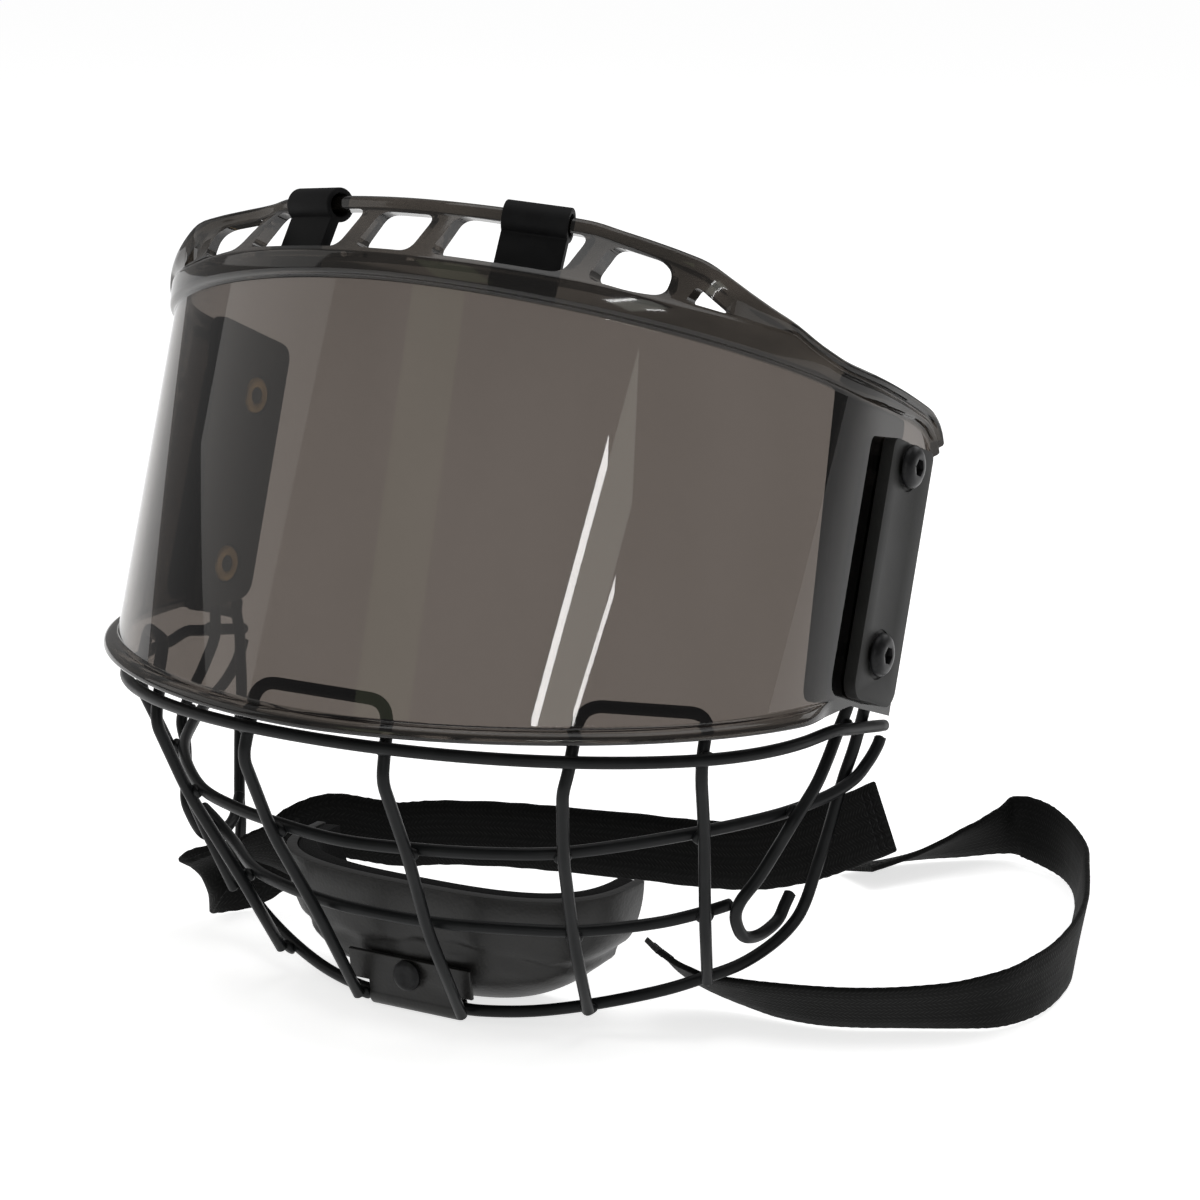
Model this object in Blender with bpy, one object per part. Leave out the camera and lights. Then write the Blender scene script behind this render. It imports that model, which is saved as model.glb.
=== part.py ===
"""Full-face protector for an ice-hockey helmet: a smoked visor over a wire cage.

Everything is modelled upright, in the wearer's own directions: +X is the wearer's left, -Y is
the front and +Z is up. The empty "lean" then tips it back to the attitude it stands in, on the
front of its bottom rail, and stand_on_origin() puts the middle of its base at the origin.
"""

import math

import bmesh
import bpy
import numpy as np
from mathutils import Matrix, Vector

MM = 0.001

# Attitude: how far it leans back, and how high its own origin then stands
LEAN = math.radians(19.3)
STAND_HEIGHT = 103.2

# Visor plan: a half superellipse in front of straight sides
LENS_HALF_WIDTH = 105.4
LENS_DEPTH = 74.0
LENS_CENTRE_Y = -21.5
LENS_POWER = 1.8
LENS_REAR_Y = 15.5
LENS_THICKNESS = 2.4
LENS_FRONT_Y = LENS_CENTRE_Y - LENS_DEPTH

# Visor heights at the front, and how they change towards the back
FLANGE_TOP_Z = -43.5
FLANGE_RISE = 0.335
FLANGE_HEIGHT = 4.1
FLANGE_OUT = 3.3
LEDGE_Z = 65.2
LEDGE_FALL = 0.134
RAIL_HALF = 2.2

# Distances behind the visor's front, and the band, rail and inset found there
BAND_BACK = [0.0, 12.4, 26.8, 65.5, 100.5, 111.5]
BAND_Z = [72.0, 71.0, 69.0, 66.0, 62.4, 60.0]
RAIL_BACK = [0.0, 11.0, 16.0, 20.0, 24.0, 27.5, 31.5, 35.5, 39.5, 43.5, 51.5, 59.5, 70.0, 85.0,
             95.0, 101.0, 105.7, 109.0, 111.5]
RAIL_Z = [88.0, 87.6, 86.0, 84.3, 82.4, 80.6, 77.6, 74.8, 72.5, 70.6, 66.4, 64.0, 63.1, 62.3,
          61.5, 60.8, 59.2, 57.0, 54.0]
INSET_BACK = [0.0, 14.0, 16.0, 20.0, 24.0, 27.5, 32.0, 36.0]
INSET = [11.8, 11.8, 11.0, 7.6, 3.6, 0.8, -0.2, -0.6]

# Wires
WIRE_R = 1.6
GAP = 0.3

# Side plates
PLATE_FACE_X = 109.0
SCREW_Y = -4.5
SCREW_UP_Z = 44.0
SCREW_LOW_Z = -4.4
SCREW_HOLE_R = 2.3
NUT_SEAT_X = 97.2
NUT_R = 5.2

# Rail loops
LOOP_STATION_X = 36.4
LOOP_WIDTH = 17.0
LOOP_BORE_R = 3.6
LOOP_THICKNESS = 1.7
LOOP_TAIL = 17.5
LOOP_REST = math.radians(13.0)

# Chin cup and straps
CUP_CENTRE = (0.0, -25.0, 38.4)
CUP_SIZE = (52.0, 34.0, 37.6)
CUP_REAR_Y = -24.0
CUP_WALL = 2.6
CUP_POWER = 3.0
STRAP_WIDTH = 19.0
STRAP_THICKNESS = 1.5


# ---------------------------------------------------------------- scene and materials

def clear_scene():
    for obj in list(bpy.data.objects):
        bpy.data.objects.remove(obj, do_unlink=True)


def make_material(name, colour, roughness, metallic=0.0, alpha=1.0):
    mat = bpy.data.materials.new(name)
    mat.use_nodes = True
    shader = mat.node_tree.nodes["Principled BSDF"]
    shader.inputs["Base Color"].default_value = (*colour, 1.0)
    shader.inputs["Roughness"].default_value = roughness
    shader.inputs["Metallic"].default_value = metallic
    shader.inputs["Alpha"].default_value = alpha
    mat.diffuse_color = (*colour, alpha)
    return mat


def make_materials():
    return {
        "smoke": make_material("smoked_polycarbonate", (0.16, 0.14, 0.12), 0.08, alpha=0.6),
        "wire": make_material("black_powder_coat", (0.012, 0.013, 0.014), 0.35),
        "plate": make_material("charcoal_plastic", (0.03, 0.03, 0.03), 0.5),
        "screw": make_material("black_screw", (0.015, 0.015, 0.015), 0.35, metallic=0.6),
        "brass": make_material("brass_nut", (0.45, 0.32, 0.16), 0.35, metallic=1.0),
        "loop": make_material("black_rubber", (0.012, 0.012, 0.013), 0.55),
        "leather": make_material("black_leather", (0.014, 0.013, 0.013), 0.42),
        "foam": make_material("black_foam", (0.02, 0.02, 0.02), 0.85),
        "webbing": make_material("black_webbing", (0.01, 0.01, 0.01), 0.8),
    }


# ---------------------------------------------------------------- small helpers

def add_mesh(name, verts, faces, material, parent):
    """One object from points in millimetres, with its faces turned outwards."""
    mesh = bpy.data.meshes.new(name)
    mesh.from_pydata([Vector(v) * MM for v in verts], [], faces)
    mesh.materials.append(material)
    obj = bpy.data.objects.new(name, mesh)
    bpy.context.scene.collection.objects.link(obj)
    obj.parent = parent
    face_outwards(mesh)
    return obj


def face_outwards(mesh):
    bm = bmesh.new()
    bm.from_mesh(mesh)
    bmesh.ops.remove_doubles(bm, verts=bm.verts, dist=1e-6)
    bmesh.ops.recalc_face_normals(bm, faces=bm.faces)
    if bm.calc_volume(signed=True) < 0:
        bmesh.ops.reverse_faces(bm, faces=bm.faces)
    bm.to_mesh(mesh)
    bm.free()


def smooth(obj, degrees=35.0):
    obj.data.shade_smooth()
    obj.data.set_sharp_from_angle(angle=math.radians(degrees))
    return obj


def cut(obj, cutter):
    cutter.hide_render = True
    cutter.display_type = "WIRE"
    boolean = obj.modifiers.new("cut", "BOOLEAN")
    boolean.operation = "DIFFERENCE"
    boolean.solver = "EXACT"
    boolean.object = cutter


def bevel(obj, width, segments=2, angle=40.0):
    mod = obj.modifiers.new("bevel", "BEVEL")
    mod.width = width * MM
    mod.segments = segments
    mod.limit_method = "ANGLE"
    mod.angle_limit = math.radians(angle)


def catmull_rom(points, steps):
    """Points on a smooth curve through the given ones."""
    pts = [np.array(p, float) for p in points]
    pts = [2 * pts[0] - pts[1]] + pts + [2 * pts[-1] - pts[-2]]
    out = []
    for a, b, c, d in zip(pts[:-3], pts[1:-2], pts[2:-1], pts[3:]):
        for i in range(steps):
            t = i / steps
            out.append(0.5 * (2 * b + (c - a) * t + (2 * a - 5 * b + 4 * c - d) * t ** 2
                              + (3 * b - a - 3 * c + d) * t ** 3))
    out.append(pts[-2])
    return out


def round_corners(points, radius, steps=4):
    """An open path with each inner corner replaced by a quadratic bend."""
    pts = [np.array(p, float) for p in points]
    out = [pts[0]]
    for before, here, after in zip(pts[:-2], pts[1:-1], pts[2:]):
        u = before - here
        v = after - here
        reach = min(radius, 0.48 * np.linalg.norm(u), 0.48 * np.linalg.norm(v))
        start = here + reach * u / np.linalg.norm(u)
        end = here + reach * v / np.linalg.norm(v)
        for i in range(steps + 1):
            t = i / steps
            out.append((1 - t) ** 2 * start + 2 * t * (1 - t) * here + t ** 2 * end)
    out.append(pts[-1])
    return out


def mirrored(points):
    """A half outline from the middle to the left side, made whole."""
    right = [(-p[0], p[1], p[2]) for p in reversed(points)]
    keep = points[1:] if abs(points[0][0]) < 1e-6 else points
    return right + [tuple(p) for p in keep]


def wire(name, points, material, parent, radius=WIRE_R):
    """A round wire along the points."""
    curve = bpy.data.curves.new(name, "CURVE")
    curve.dimensions = "3D"
    curve.bevel_depth = radius * MM
    curve.bevel_resolution = 2
    curve.use_fill_caps = True
    spline = curve.splines.new("POLY")
    spline.points.add(len(points) - 1)
    for point, xyz in zip(spline.points, points):
        point.co = (*(Vector(xyz) * MM), 1.0)
    curve.materials.append(material)
    obj = bpy.data.objects.new(name, curve)
    bpy.context.scene.collection.objects.link(obj)
    obj.parent = parent
    return obj


def side_name(side):
    return "left" if side > 0 else "right"


def flip(points, side):
    return [(side * p[0], p[1], p[2]) for p in points]


# ---------------------------------------------------------------- visor

def superellipse(angle, half_width, depth, centre_y, power):
    """Plan point at an angle from straight ahead, and its outward direction."""
    s, c = math.sin(angle), max(math.cos(angle), 0.0)
    x = math.copysign(half_width * abs(s) ** (2 / power), s)
    y = centre_y - depth * c ** (2 / power)
    nx = math.copysign(abs(x / half_width) ** (power - 1) / half_width, x)
    ny = -(abs((y - centre_y) / depth) ** (power - 1)) / depth
    length = math.hypot(nx, ny)
    return (x, y), (nx / length, ny / length)


def lens_stations():
    """Plan points and outward directions round the visor, from its right end to its left."""
    front = []
    for i in range(41):
        angle = math.radians(-90 + 180 * i / 40)
        front.append(superellipse(angle, LENS_HALF_WIDTH, LENS_DEPTH, LENS_CENTRE_Y, LENS_POWER))
    side_ys = [LENS_REAR_Y, LENS_REAR_Y - 3.0, LENS_REAR_Y - 14.0, LENS_REAR_Y - 25.0]
    right = [((-LENS_HALF_WIDTH, y), (-1.0, 0.0)) for y in side_ys]
    left = [((LENS_HALF_WIDTH, y), (1.0, 0.0)) for y in reversed(side_ys)]
    return right + front + left


def back(y):
    """Distance behind the front of the visor."""
    return y - LENS_FRONT_Y


def flange_z(y):
    return min(FLANGE_TOP_Z + FLANGE_RISE * back(y), -14.5)


def ledge_z(y):
    return LEDGE_Z - LEDGE_FALL * min(back(y), 66.0)


def band_z(y):
    return float(np.interp(back(y), BAND_BACK, BAND_Z))


def rail_z(y):
    """The rail stays level across the front, then comes down to the band at the sides."""
    return float(np.interp(back(y), RAIL_BACK, RAIL_Z))


def rail_inset(y):
    """How far the rail's middle sits behind the face of the visor."""
    return float(np.interp(back(y), INSET_BACK, INSET))


def visor_section(y):
    """The visor's cross-section at a station: pairs of outward offset and height."""
    flange, rail = flange_z(y), rail_z(y)
    ledge = min(ledge_z(y), rail - 5.2)
    band = min(band_z(y), rail - 2.6)
    lip = float(np.interp(y, [-34.0, -19.0], [1.0, 0.0]))
    inset, t = rail_inset(y), LENS_THICKNESS
    tall = min(2 * RAIL_HALF, 0.6 * (rail - band) + 0.6)
    return [
        (0.6 * lip, flange - FLANGE_HEIGHT),
        (FLANGE_OUT * lip, flange - FLANGE_HEIGHT + 0.2),
        (FLANGE_OUT * lip, flange - 1.9),
        (1.9 * lip, flange - 0.5),
        (0.0, flange),
        (0.0, ledge),
        (1.6, ledge + 0.9),
        (2.1, band - 1.0),
        (1.2, band),
        (RAIL_HALF - inset, rail - 0.8 * tall),
        (RAIL_HALF - inset, rail - 0.25 * tall),
        (1.1 - inset, rail),
        (-1.1 - inset, rail),
        (-RAIL_HALF - inset, rail - 0.25 * tall),
        (-RAIL_HALF - inset, rail - 0.75 * tall),
        (min(-1.1 - inset, 0.5 - t), rail - tall),
        (-t - 0.2, band - 2.0),
        (-t, ledge - 1.0),
        (-t, flange - 0.8),
    ]


def sweep_section(stations, section_at):
    """Closed skin of a section carried along plan stations."""
    verts, faces = [], []
    for (x, y), (nx, ny) in stations:
        for offset, z in section_at(y):
            verts.append((x + offset * nx, y + offset * ny, z))
    count = len(verts) // len(stations)
    for i in range(len(stations) - 1):
        for j in range(count):
            k = (j + 1) % count
            a, b = i * count, (i + 1) * count
            faces.append((a + j, a + k, b + k))
            faces.append((a + j, b + k, b + j))
    faces.append(tuple(range(count)))
    faces.append(tuple(range(len(verts) - 1, len(verts) - count - 1, -1)))
    return verts, faces


def station_at_x(x):
    """The visor's plan station whose x is the given one."""
    s = math.copysign((abs(x) / LENS_HALF_WIDTH) ** (LENS_POWER / 2), x)
    return superellipse(math.asin(s), LENS_HALF_WIDTH, LENS_DEPTH, LENS_CENTRE_Y, LENS_POWER)


def vent_cutter(name, corners, side, radius, parent):
    """A vent's rounded outline, given as (x, z) corners, drawn straight back through the band."""
    shape = [np.array((side * x, 0.0, z)) for x, z in corners]
    outline = round_corners([shape[-1]] + shape + [shape[0]], radius, steps=4)[1:-1]
    count = len(outline)
    verts = [(p[0], -104.0, p[2]) for p in outline] + [(p[0], -46.0, p[2]) for p in outline]
    faces = [(i, (i + 1) % count, count + (i + 1) % count, count + i) for i in range(count)]
    faces += [tuple(range(count - 1, -1, -1)), tuple(range(count, 2 * count))]
    return add_mesh(name, verts, faces, None, parent)


def build_visor(mats, parent):
    verts, faces = sweep_section(lens_stations(), visor_section)
    visor = add_mesh("visor_shell", verts, faces, mats["smoke"], parent)
    vents = {
        "centre": [(-8.2, 72.4), (8.2, 72.4), (8.2, 83.6), (-8.2, 83.6)],
        "loop": [(13.6, 72.3), (46.8, 71.7), (46.8, 83.3), (13.6, 84.2)],
        "side": [(52.2, 71.3), (63.0, 69.8), (69.6, 70.2), (69.4, 76.4), (66.0, 79.2), (52.2, 82.0)],
        "corner": [(73.6, 69.9), (82.8, 68.8), (75.6, 74.2)],
    }
    for label, corners in vents.items():
        for side in ((1,) if label == "centre" else (1, -1)):
            radius = 1.6 if label == "corner" else 3.0
            name = "cut_vent_" + label + ("" if label == "centre" else "_" + side_name(side))
            cut(visor, vent_cutter(name, corners, side, radius, parent))
    for side in (1, -1):
        for level, z in (("upper", SCREW_UP_Z), ("lower", SCREW_LOW_Z)):
            cut(visor, screw_hole("cut_visor_" + side_name(side) + "_" + level, side, z, parent))
    return smooth(visor)


# ---------------------------------------------------------------- cage

def upper_rail_half():
    """The rail under the visor's flange: a half superellipse that rises towards the back."""
    points = []
    for i in range(18):
        (x, y), _ = superellipse(math.radians(84.0 * i / 17), 101.0, 83.5, -8.0, 2.1)
        behind = y + 91.5
        points.append((x, y, -49.4 + 0.26 * behind + 1.9 * max((behind - 35) / 45, 0.0) ** 2))
    return points + [(102.4, -9.0, -25.3), (102.9, -2.0, -24.2), (102.9, 8.0, -22.6),
                     (102.9, 19.5, -20.9)]


def build_rails(mats, parent):
    wire("upper_rail", mirrored(upper_rail_half()), mats["wire"], parent)
    middle_half = [(0, -67.0, -73.4), (20.8, -64.6, -72.2), (40, -60.0, -70.0), (57.2, -52.0, -66.4),
                   (77, -34.5, -58.0), (90.5, -13.5, -49.5), (97.2, 1.5, -42.5),
                   (100.2, 11.0, -36.6), (101.4, 15.9, -31.2), (102.2, 18.3, -26.6),
                   (102.5, 18.9, -23.8)]
    wire("middle_rail", catmull_rom(mirrored(middle_half), 3), mats["wire"], parent)
    chin_half = [(0, -43.2, -90.8), (17.3, -42.4, -90.3), (36, -37.4, -88.4), (51.2, -29.4, -86.0),
                 (66, -18.6, -81.0), (77, -13.6, -76.0), (83.8, -12.2, -72.6)]
    wire("chin_rail", catmull_rom(mirrored(chin_half), 3), mats["wire"], parent)
    bottom_half = [(0, -17.7, -112.1), (10, -17.7, -112.1), (19, -17.4, -111.8), (33, -14.2, -109.3), (48, -9.5, -104.6),
                   (63, -3.8, -98.4), (72, 0.8, -93.4), (79.5, 6.0, -88.3), (85.0, 11.0, -82.0),
                   (88.6, 14.4, -75.6), (90.8, 15.0, -69.5), (92.6, 14.6, -60.0),
                   (94.4, 14.2, -50.0), (96.4, 13.4, -37.0), (98.2, 12.8, -28.6),
                   (99.4, 12.0, -22.0), (100.5, 10.6, -17.0), (100.7, 10.2, -13.0)]
    wire("bottom_rail", catmull_rom(mirrored(bottom_half), 3), mats["wire"], parent)


def build_uprights(mats, parent):
    """Wires from behind the lens down to the bottom rail: behind the top rail, before the rest."""
    inner = [(19.6, -86.6, -37.4), (20.6, -86.5, -50.5), (21.0, -86.0, -57.0), (20.8, -68.2, -74.4),
             (17.3, -46.9, -93.0), (16.2, -21.2, -114.2)]
    hoop = flip(inner[::-1], -1) + inner
    wire("centre_hoop", round_corners(hoop, 6.0), mats["wire"], parent)
    front = [(62.8, -69.3, -30.6), (62.6, -69.3, -47.5), (61.8, -69.0, -52.5), (57.7, -55.7, -68.7),
             (52.0, -33.4, -88.9), (48.4, -13.0, -107.0)]
    rear = [(86.2, -47.0, -27.2), (86.4, -47.0, -38.0), (86.4, -45.4, -43.6), (83.4, -33.1, -56.9),
            (79.3, -17.7, -76.5), (75.2, -1.9, -94.2)]
    for side in (1, -1):
        points = round_corners(flip(front[::-1] + rear, side), 6.0)
        wire(side_name(side) + "_side_hoop", points, mats["wire"], parent)


def build_side_wires(mats, parent):
    """The front upright of each side, whose lower end bends round into an open strap guide."""
    upright = [(100.7, 0.3, 40.0), (100.7, 0.3, -12.0), (100.5, 0.4, -18.0), (99.0, 0.2, -25.2),
               (98.6, -2.8, -33.5), (98.2, -6.3, -40.4), (96.4, -11.4, -49.7),
               (93.4, -11.6, -56.7), (90.2, -13.1, -65.1), (87.4, -15.2, -71.6)]
    guide = [(85.8, -13.4, -75.8), (85.4, -8.6, -79.6), (85.6, -3.9, -80.6), (86.0, 2.4, -79.3),
             (87.0, 8.2, -75.4), (87.6, 9.9, -71.0), (88.2, 10.9, -67.4)]
    for side in (1, -1):
        points = flip(catmull_rom(upright + guide, 3), side)
        wire(side_name(side) + "_front_upright", points, mats["wire"], parent)


# ---------------------------------------------------------------- side plates and fasteners

def plate(name, side, corners, x_in, x_out, material, parent, radius):
    """A flat plate with rounded corners, given as (y, z) corners."""
    closed = [corners[-1]] + corners + [corners[0]]
    outline = round_corners(closed, radius, steps=4)[1:-1]
    if side < 0:
        outline = outline[::-1]
    count = len(outline)
    verts = [(side * x_in, p[0], p[1]) for p in outline]
    verts += [(side * x_out, p[0], p[1]) for p in outline]
    faces = [(i, (i + 1) % count, count + (i + 1) % count, count + i) for i in range(count)]
    faces += [tuple(range(count - 1, -1, -1)), tuple(range(count, 2 * count))]
    return add_mesh(name, verts, faces, material, parent)


def turned(name, profile, side, y, z, material, parent, sides=20):
    """A round piece about an axis along X: profile pairs are (x, radius), outermost first."""
    verts, faces = [], []
    for x, r in profile:
        for i in range(sides):
            a = 2 * math.pi * i / sides
            verts.append((side * x, y + r * math.cos(a), z + r * math.sin(a)))
    rings = len(profile)
    for j in range(rings - 1):
        for i in range(sides):
            k = (i + 1) % sides
            faces.append((j * sides + i, j * sides + k, (j + 1) * sides + k, (j + 1) * sides + i))
    faces.append(tuple(range(sides)))
    faces.append(tuple(range(rings * sides - 1, (rings - 1) * sides - 1, -1)))
    return add_mesh(name, verts, faces, material, parent)


def screw_hole(name, side, z, parent):
    profile = [(PLATE_FACE_X + 6, SCREW_HOLE_R), (PLATE_FACE_X - 26, SCREW_HOLE_R)]
    return turned(name, profile, side, SCREW_Y, z, None, parent)


def nut_pocket(name, side, z, parent):
    """Room for a nut to sit flush in the plate that faces the helmet."""
    profile = [(NUT_SEAT_X, NUT_R + 0.4), (NUT_SEAT_X - 8, NUT_R + 0.4)]
    return turned(name, profile, side, SCREW_Y, z, None, parent)


def build_plates(mats, parent):
    outer_shape = [(-15.6, 49.8), (9.1, 49.8), (9.1, -14.0), (6.4, -17.0), (-13.0, -16.6),
                   (-15.6, -13.6)]
    inner_shape = [(-28.6, 62.8), (8.0, 60.3), (9.0, -12.0), (-17.0, -20.5)]
    for side in (1, -1):
        label = side_name(side)
        face = plate(label + "_outer_plate", side, outer_shape, LENS_HALF_WIDTH + GAP,
                     PLATE_FACE_X, mats["plate"], parent, 2.6)
        pad = plate(label + "_inner_plate", side, inner_shape, 95.4, 98.6,
                    mats["plate"], parent, 5.0)
        for piece in (face, pad):
            for level, z in (("upper", SCREW_UP_Z), ("lower", SCREW_LOW_Z)):
                hole = screw_hole("cut_" + piece.name + "_" + level, side, z, parent)
                cut(piece, hole)
        for level, z in (("upper", SCREW_UP_Z), ("lower", SCREW_LOW_Z)):
            cut(pad, nut_pocket("cut_" + pad.name + "_pocket_" + level, side, z, parent))
        bevel(face, 0.9)
        bevel(pad, 0.6)


def build_fasteners(mats, parent):
    top = PLATE_FACE_X + GAP
    head = [(top + 2.5, 1.9), (top + 2.5, 3.4), (top + 2.1, 4.9), (top + 1.0, 5.6), (top, 5.7),
            (top, 2.0), (95.7, 2.0)]
    flat = NUT_SEAT_X - GAP
    nut = [(flat, 2.3), (flat, NUT_R), (flat - 1.0, NUT_R), (flat - 1.4, NUT_R - 0.5),
           (flat - 1.4, 2.3)]
    for side in (1, -1):
        for level, z in (("upper", SCREW_UP_Z), ("lower", SCREW_LOW_Z)):
            label = side_name(side) + "_" + level
            screw = turned(label + "_screw", head, side, SCREW_Y, z, mats["screw"], parent)
            smooth(screw)
            body = turned_ring(label + "_nut", nut, side, SCREW_Y, z, mats["brass"], parent)
            smooth(body)


def turned_ring(name, profile, side, y, z, material, parent, sides=20):
    """A round piece with a bore: the closed profile is turned about an axis along X."""
    verts, faces = [], []
    for x, r in profile:
        for i in range(sides):
            a = 2 * math.pi * i / sides
            verts.append((side * x, y + r * math.cos(a), z + r * math.sin(a)))
    rings = len(profile)
    for j in range(rings):
        m = (j + 1) % rings
        for i in range(sides):
            k = (i + 1) % sides
            faces.append((j * sides + i, j * sides + k, m * sides + k, m * sides + i))
    return add_mesh(name, verts, faces, material, parent)


# ---------------------------------------------------------------- rail loops

def loop_frame(side):
    """Where a loop turns: the middle of the rail, and the rail's direction there."""
    (x, y), (nx, ny) = station_at_x(side * LOOP_STATION_X)
    inset = rail_inset(y)
    centre = Vector((x - inset * nx, y - inset * ny, rail_z(y) - RAIL_HALF))
    tangent = Vector((-ny, nx, 0.0)).normalized()
    return centre, tangent


def build_loop(side, mats, parent):
    """A band wrapped once round the rail, both ends hanging together as a tail with a hole."""
    centre, tangent = loop_frame(side)
    pivot = add_empty(side_name(side) + "_loop_axis", parent)
    hang = Vector((0.0, -math.sin(LOOP_REST), -math.cos(LOOP_REST)))
    down = (hang - hang.dot(tangent) * tangent).normalized()
    across = down.cross(tangent)
    basis = Matrix((tangent, across, down)).transposed().to_4x4()
    pivot.matrix_local = Matrix.Translation(centre * MM) @ basis

    inner, outer = LOOP_BORE_R, LOOP_BORE_R + LOOP_THICKNESS
    half = LOOP_THICKNESS - 0.1
    start = math.asin(half / outer)
    sweep = 2 * math.pi - 2 * start
    arc = [start + sweep * i / 24 for i in range(25)]
    profile = [(outer * math.sin(a), outer * math.cos(a)) for a in arc]
    profile += [(-half, LOOP_TAIL), (half, LOOP_TAIL)]
    turns = [2 * math.pi * i / 24 for i in range(24)]
    bore = [(inner * math.sin(a), inner * math.cos(a)) for a in turns]
    w = LOOP_WIDTH / 2
    body = prism(side_name(side) + "_rail_loop", profile, -w, w, mats["loop"], pivot)
    cut(body, prism("cut_" + body.name + "_bore", bore, -w - 2, w + 2, None, pivot))
    for edge in (1, -1):
        trim = [(-6.0, 9.5), (-6.0, 24.0), (6.0, 24.0), (6.0, 9.5)]
        near, far = sorted((edge * 5.6, edge * 16.0))
        cut(body, prism("cut_" + body.name + "_trim_" + side_name(edge), trim, near, far, None, pivot))
    eye = turned_about_y("cut_" + body.name + "_eye", [(4.5, 2.2), (-4.5, 2.2)],
                         (0.0, 0.0, LOOP_TAIL - 4.4), None, pivot)
    cut(body, eye)
    bevel(body, 0.4, segments=1)
    return body


def prism(name, outline, x0, x1, material, parent):
    """An outline of (y, z) points drawn out along X."""
    count = len(outline)
    verts = [(x0, y, z) for y, z in outline] + [(x1, y, z) for y, z in outline]
    faces = [(i, (i + 1) % count, count + (i + 1) % count, count + i) for i in range(count)]
    faces += [tuple(range(count - 1, -1, -1)), tuple(range(count, 2 * count))]
    return add_mesh(name, verts, faces, material, parent)


def turned_about_y(name, profile, centre, material, parent, sides=16):
    """A round piece about an axis along Y: profile pairs are (y, radius), rearmost first."""
    verts, faces = [], []
    for y, r in profile:
        for i in range(sides):
            a = 2 * math.pi * i / sides
            verts.append((centre[0] + r * math.cos(a), centre[1] + y, centre[2] + r * math.sin(a)))
    rings = len(profile)
    for j in range(rings - 1):
        for i in range(sides):
            k = (i + 1) % sides
            faces.append((j * sides + i, j * sides + k, (j + 1) * sides + k, (j + 1) * sides + i))
    faces.append(tuple(range(sides)))
    faces.append(tuple(range(rings * sides - 1, (rings - 1) * sides - 1, -1)))
    return add_mesh(name, verts, faces, material, parent)


# ---------------------------------------------------------------- chin cup (in standing directions)

def bowl(name, size, material, parent, segments=40, rings=20):
    """A rounded-square bowl shape about the cup's centre."""
    mesh = bpy.data.meshes.new(name)
    bm = bmesh.new()
    bmesh.ops.create_uvsphere(bm, u_segments=segments, v_segments=rings, radius=1.0)
    for v in bm.verts:
        flat = math.hypot(v.co.x, v.co.y)
        if flat < 1e-6:
            v.co = Vector((CUP_CENTRE[0], CUP_CENTRE[1], CUP_CENTRE[2] + size[2] * v.co.z)) * MM
            continue
        power_sum = abs(v.co.x / flat) ** CUP_POWER + abs(v.co.y / flat) ** CUP_POWER
        square = power_sum ** (-1 / CUP_POWER)
        fullness = 2.3 + 0.9 * (v.co.y / flat) ** 2
        k = (flat ** fullness + abs(v.co.z) ** fullness) ** (-1 / fullness)
        shape = (k * v.co.x * square, k * v.co.y * square, k * v.co.z)
        v.co = Vector([CUP_CENTRE[i] + size[i] * shape[i] for i in range(3)]) * MM
    bm.to_mesh(mesh)
    bm.free()
    if material:
        mesh.materials.append(material)
    obj = bpy.data.objects.new(name, mesh)
    bpy.context.scene.collection.objects.link(obj)
    obj.parent = parent
    return obj


def block(name, low, high, parent, material=None):
    corners = [(x, y, z) for x in (low[0], high[0]) for y in (low[1], high[1])
               for z in (low[2], high[2])]
    faces = [(0, 1, 3, 2), (4, 6, 7, 5), (0, 4, 5, 1), (2, 3, 7, 6), (0, 2, 6, 4), (1, 5, 7, 3)]
    return add_mesh(name, corners, faces, material, parent)


def build_chin_cup(mats, stand):
    """A padded bowl behind the chin rail."""
    cup = bowl("chin_cup", CUP_SIZE, mats["leather"], stand)
    cut(cup, bowl("cut_cup_hollow", [s - CUP_WALL for s in CUP_SIZE], None, stand))
    cut(cup, block("cut_cup_rim", (-80, -90, 37.4), (80, 80, 130), stand))
    cut(cup, block("cut_cup_back", (-80, CUP_REAR_Y, -20), (80, 80, 130), stand))
    liner_size = [s - CUP_WALL - GAP for s in CUP_SIZE]
    liner = bowl("chin_cup_liner", liner_size, mats["foam"], stand)
    cut(liner, bowl("cut_liner_hollow", [s - 4.5 for s in liner_size], None, stand))
    cut(liner, block("cut_liner_rim", (-80, -90, 36.6), (80, 80, 130), stand))
    cut(liner, block("cut_liner_back", (-80, CUP_REAR_Y - 2.0, -20), (80, 80, 130), stand))
    smooth(cup)
    smooth(liner)


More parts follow.
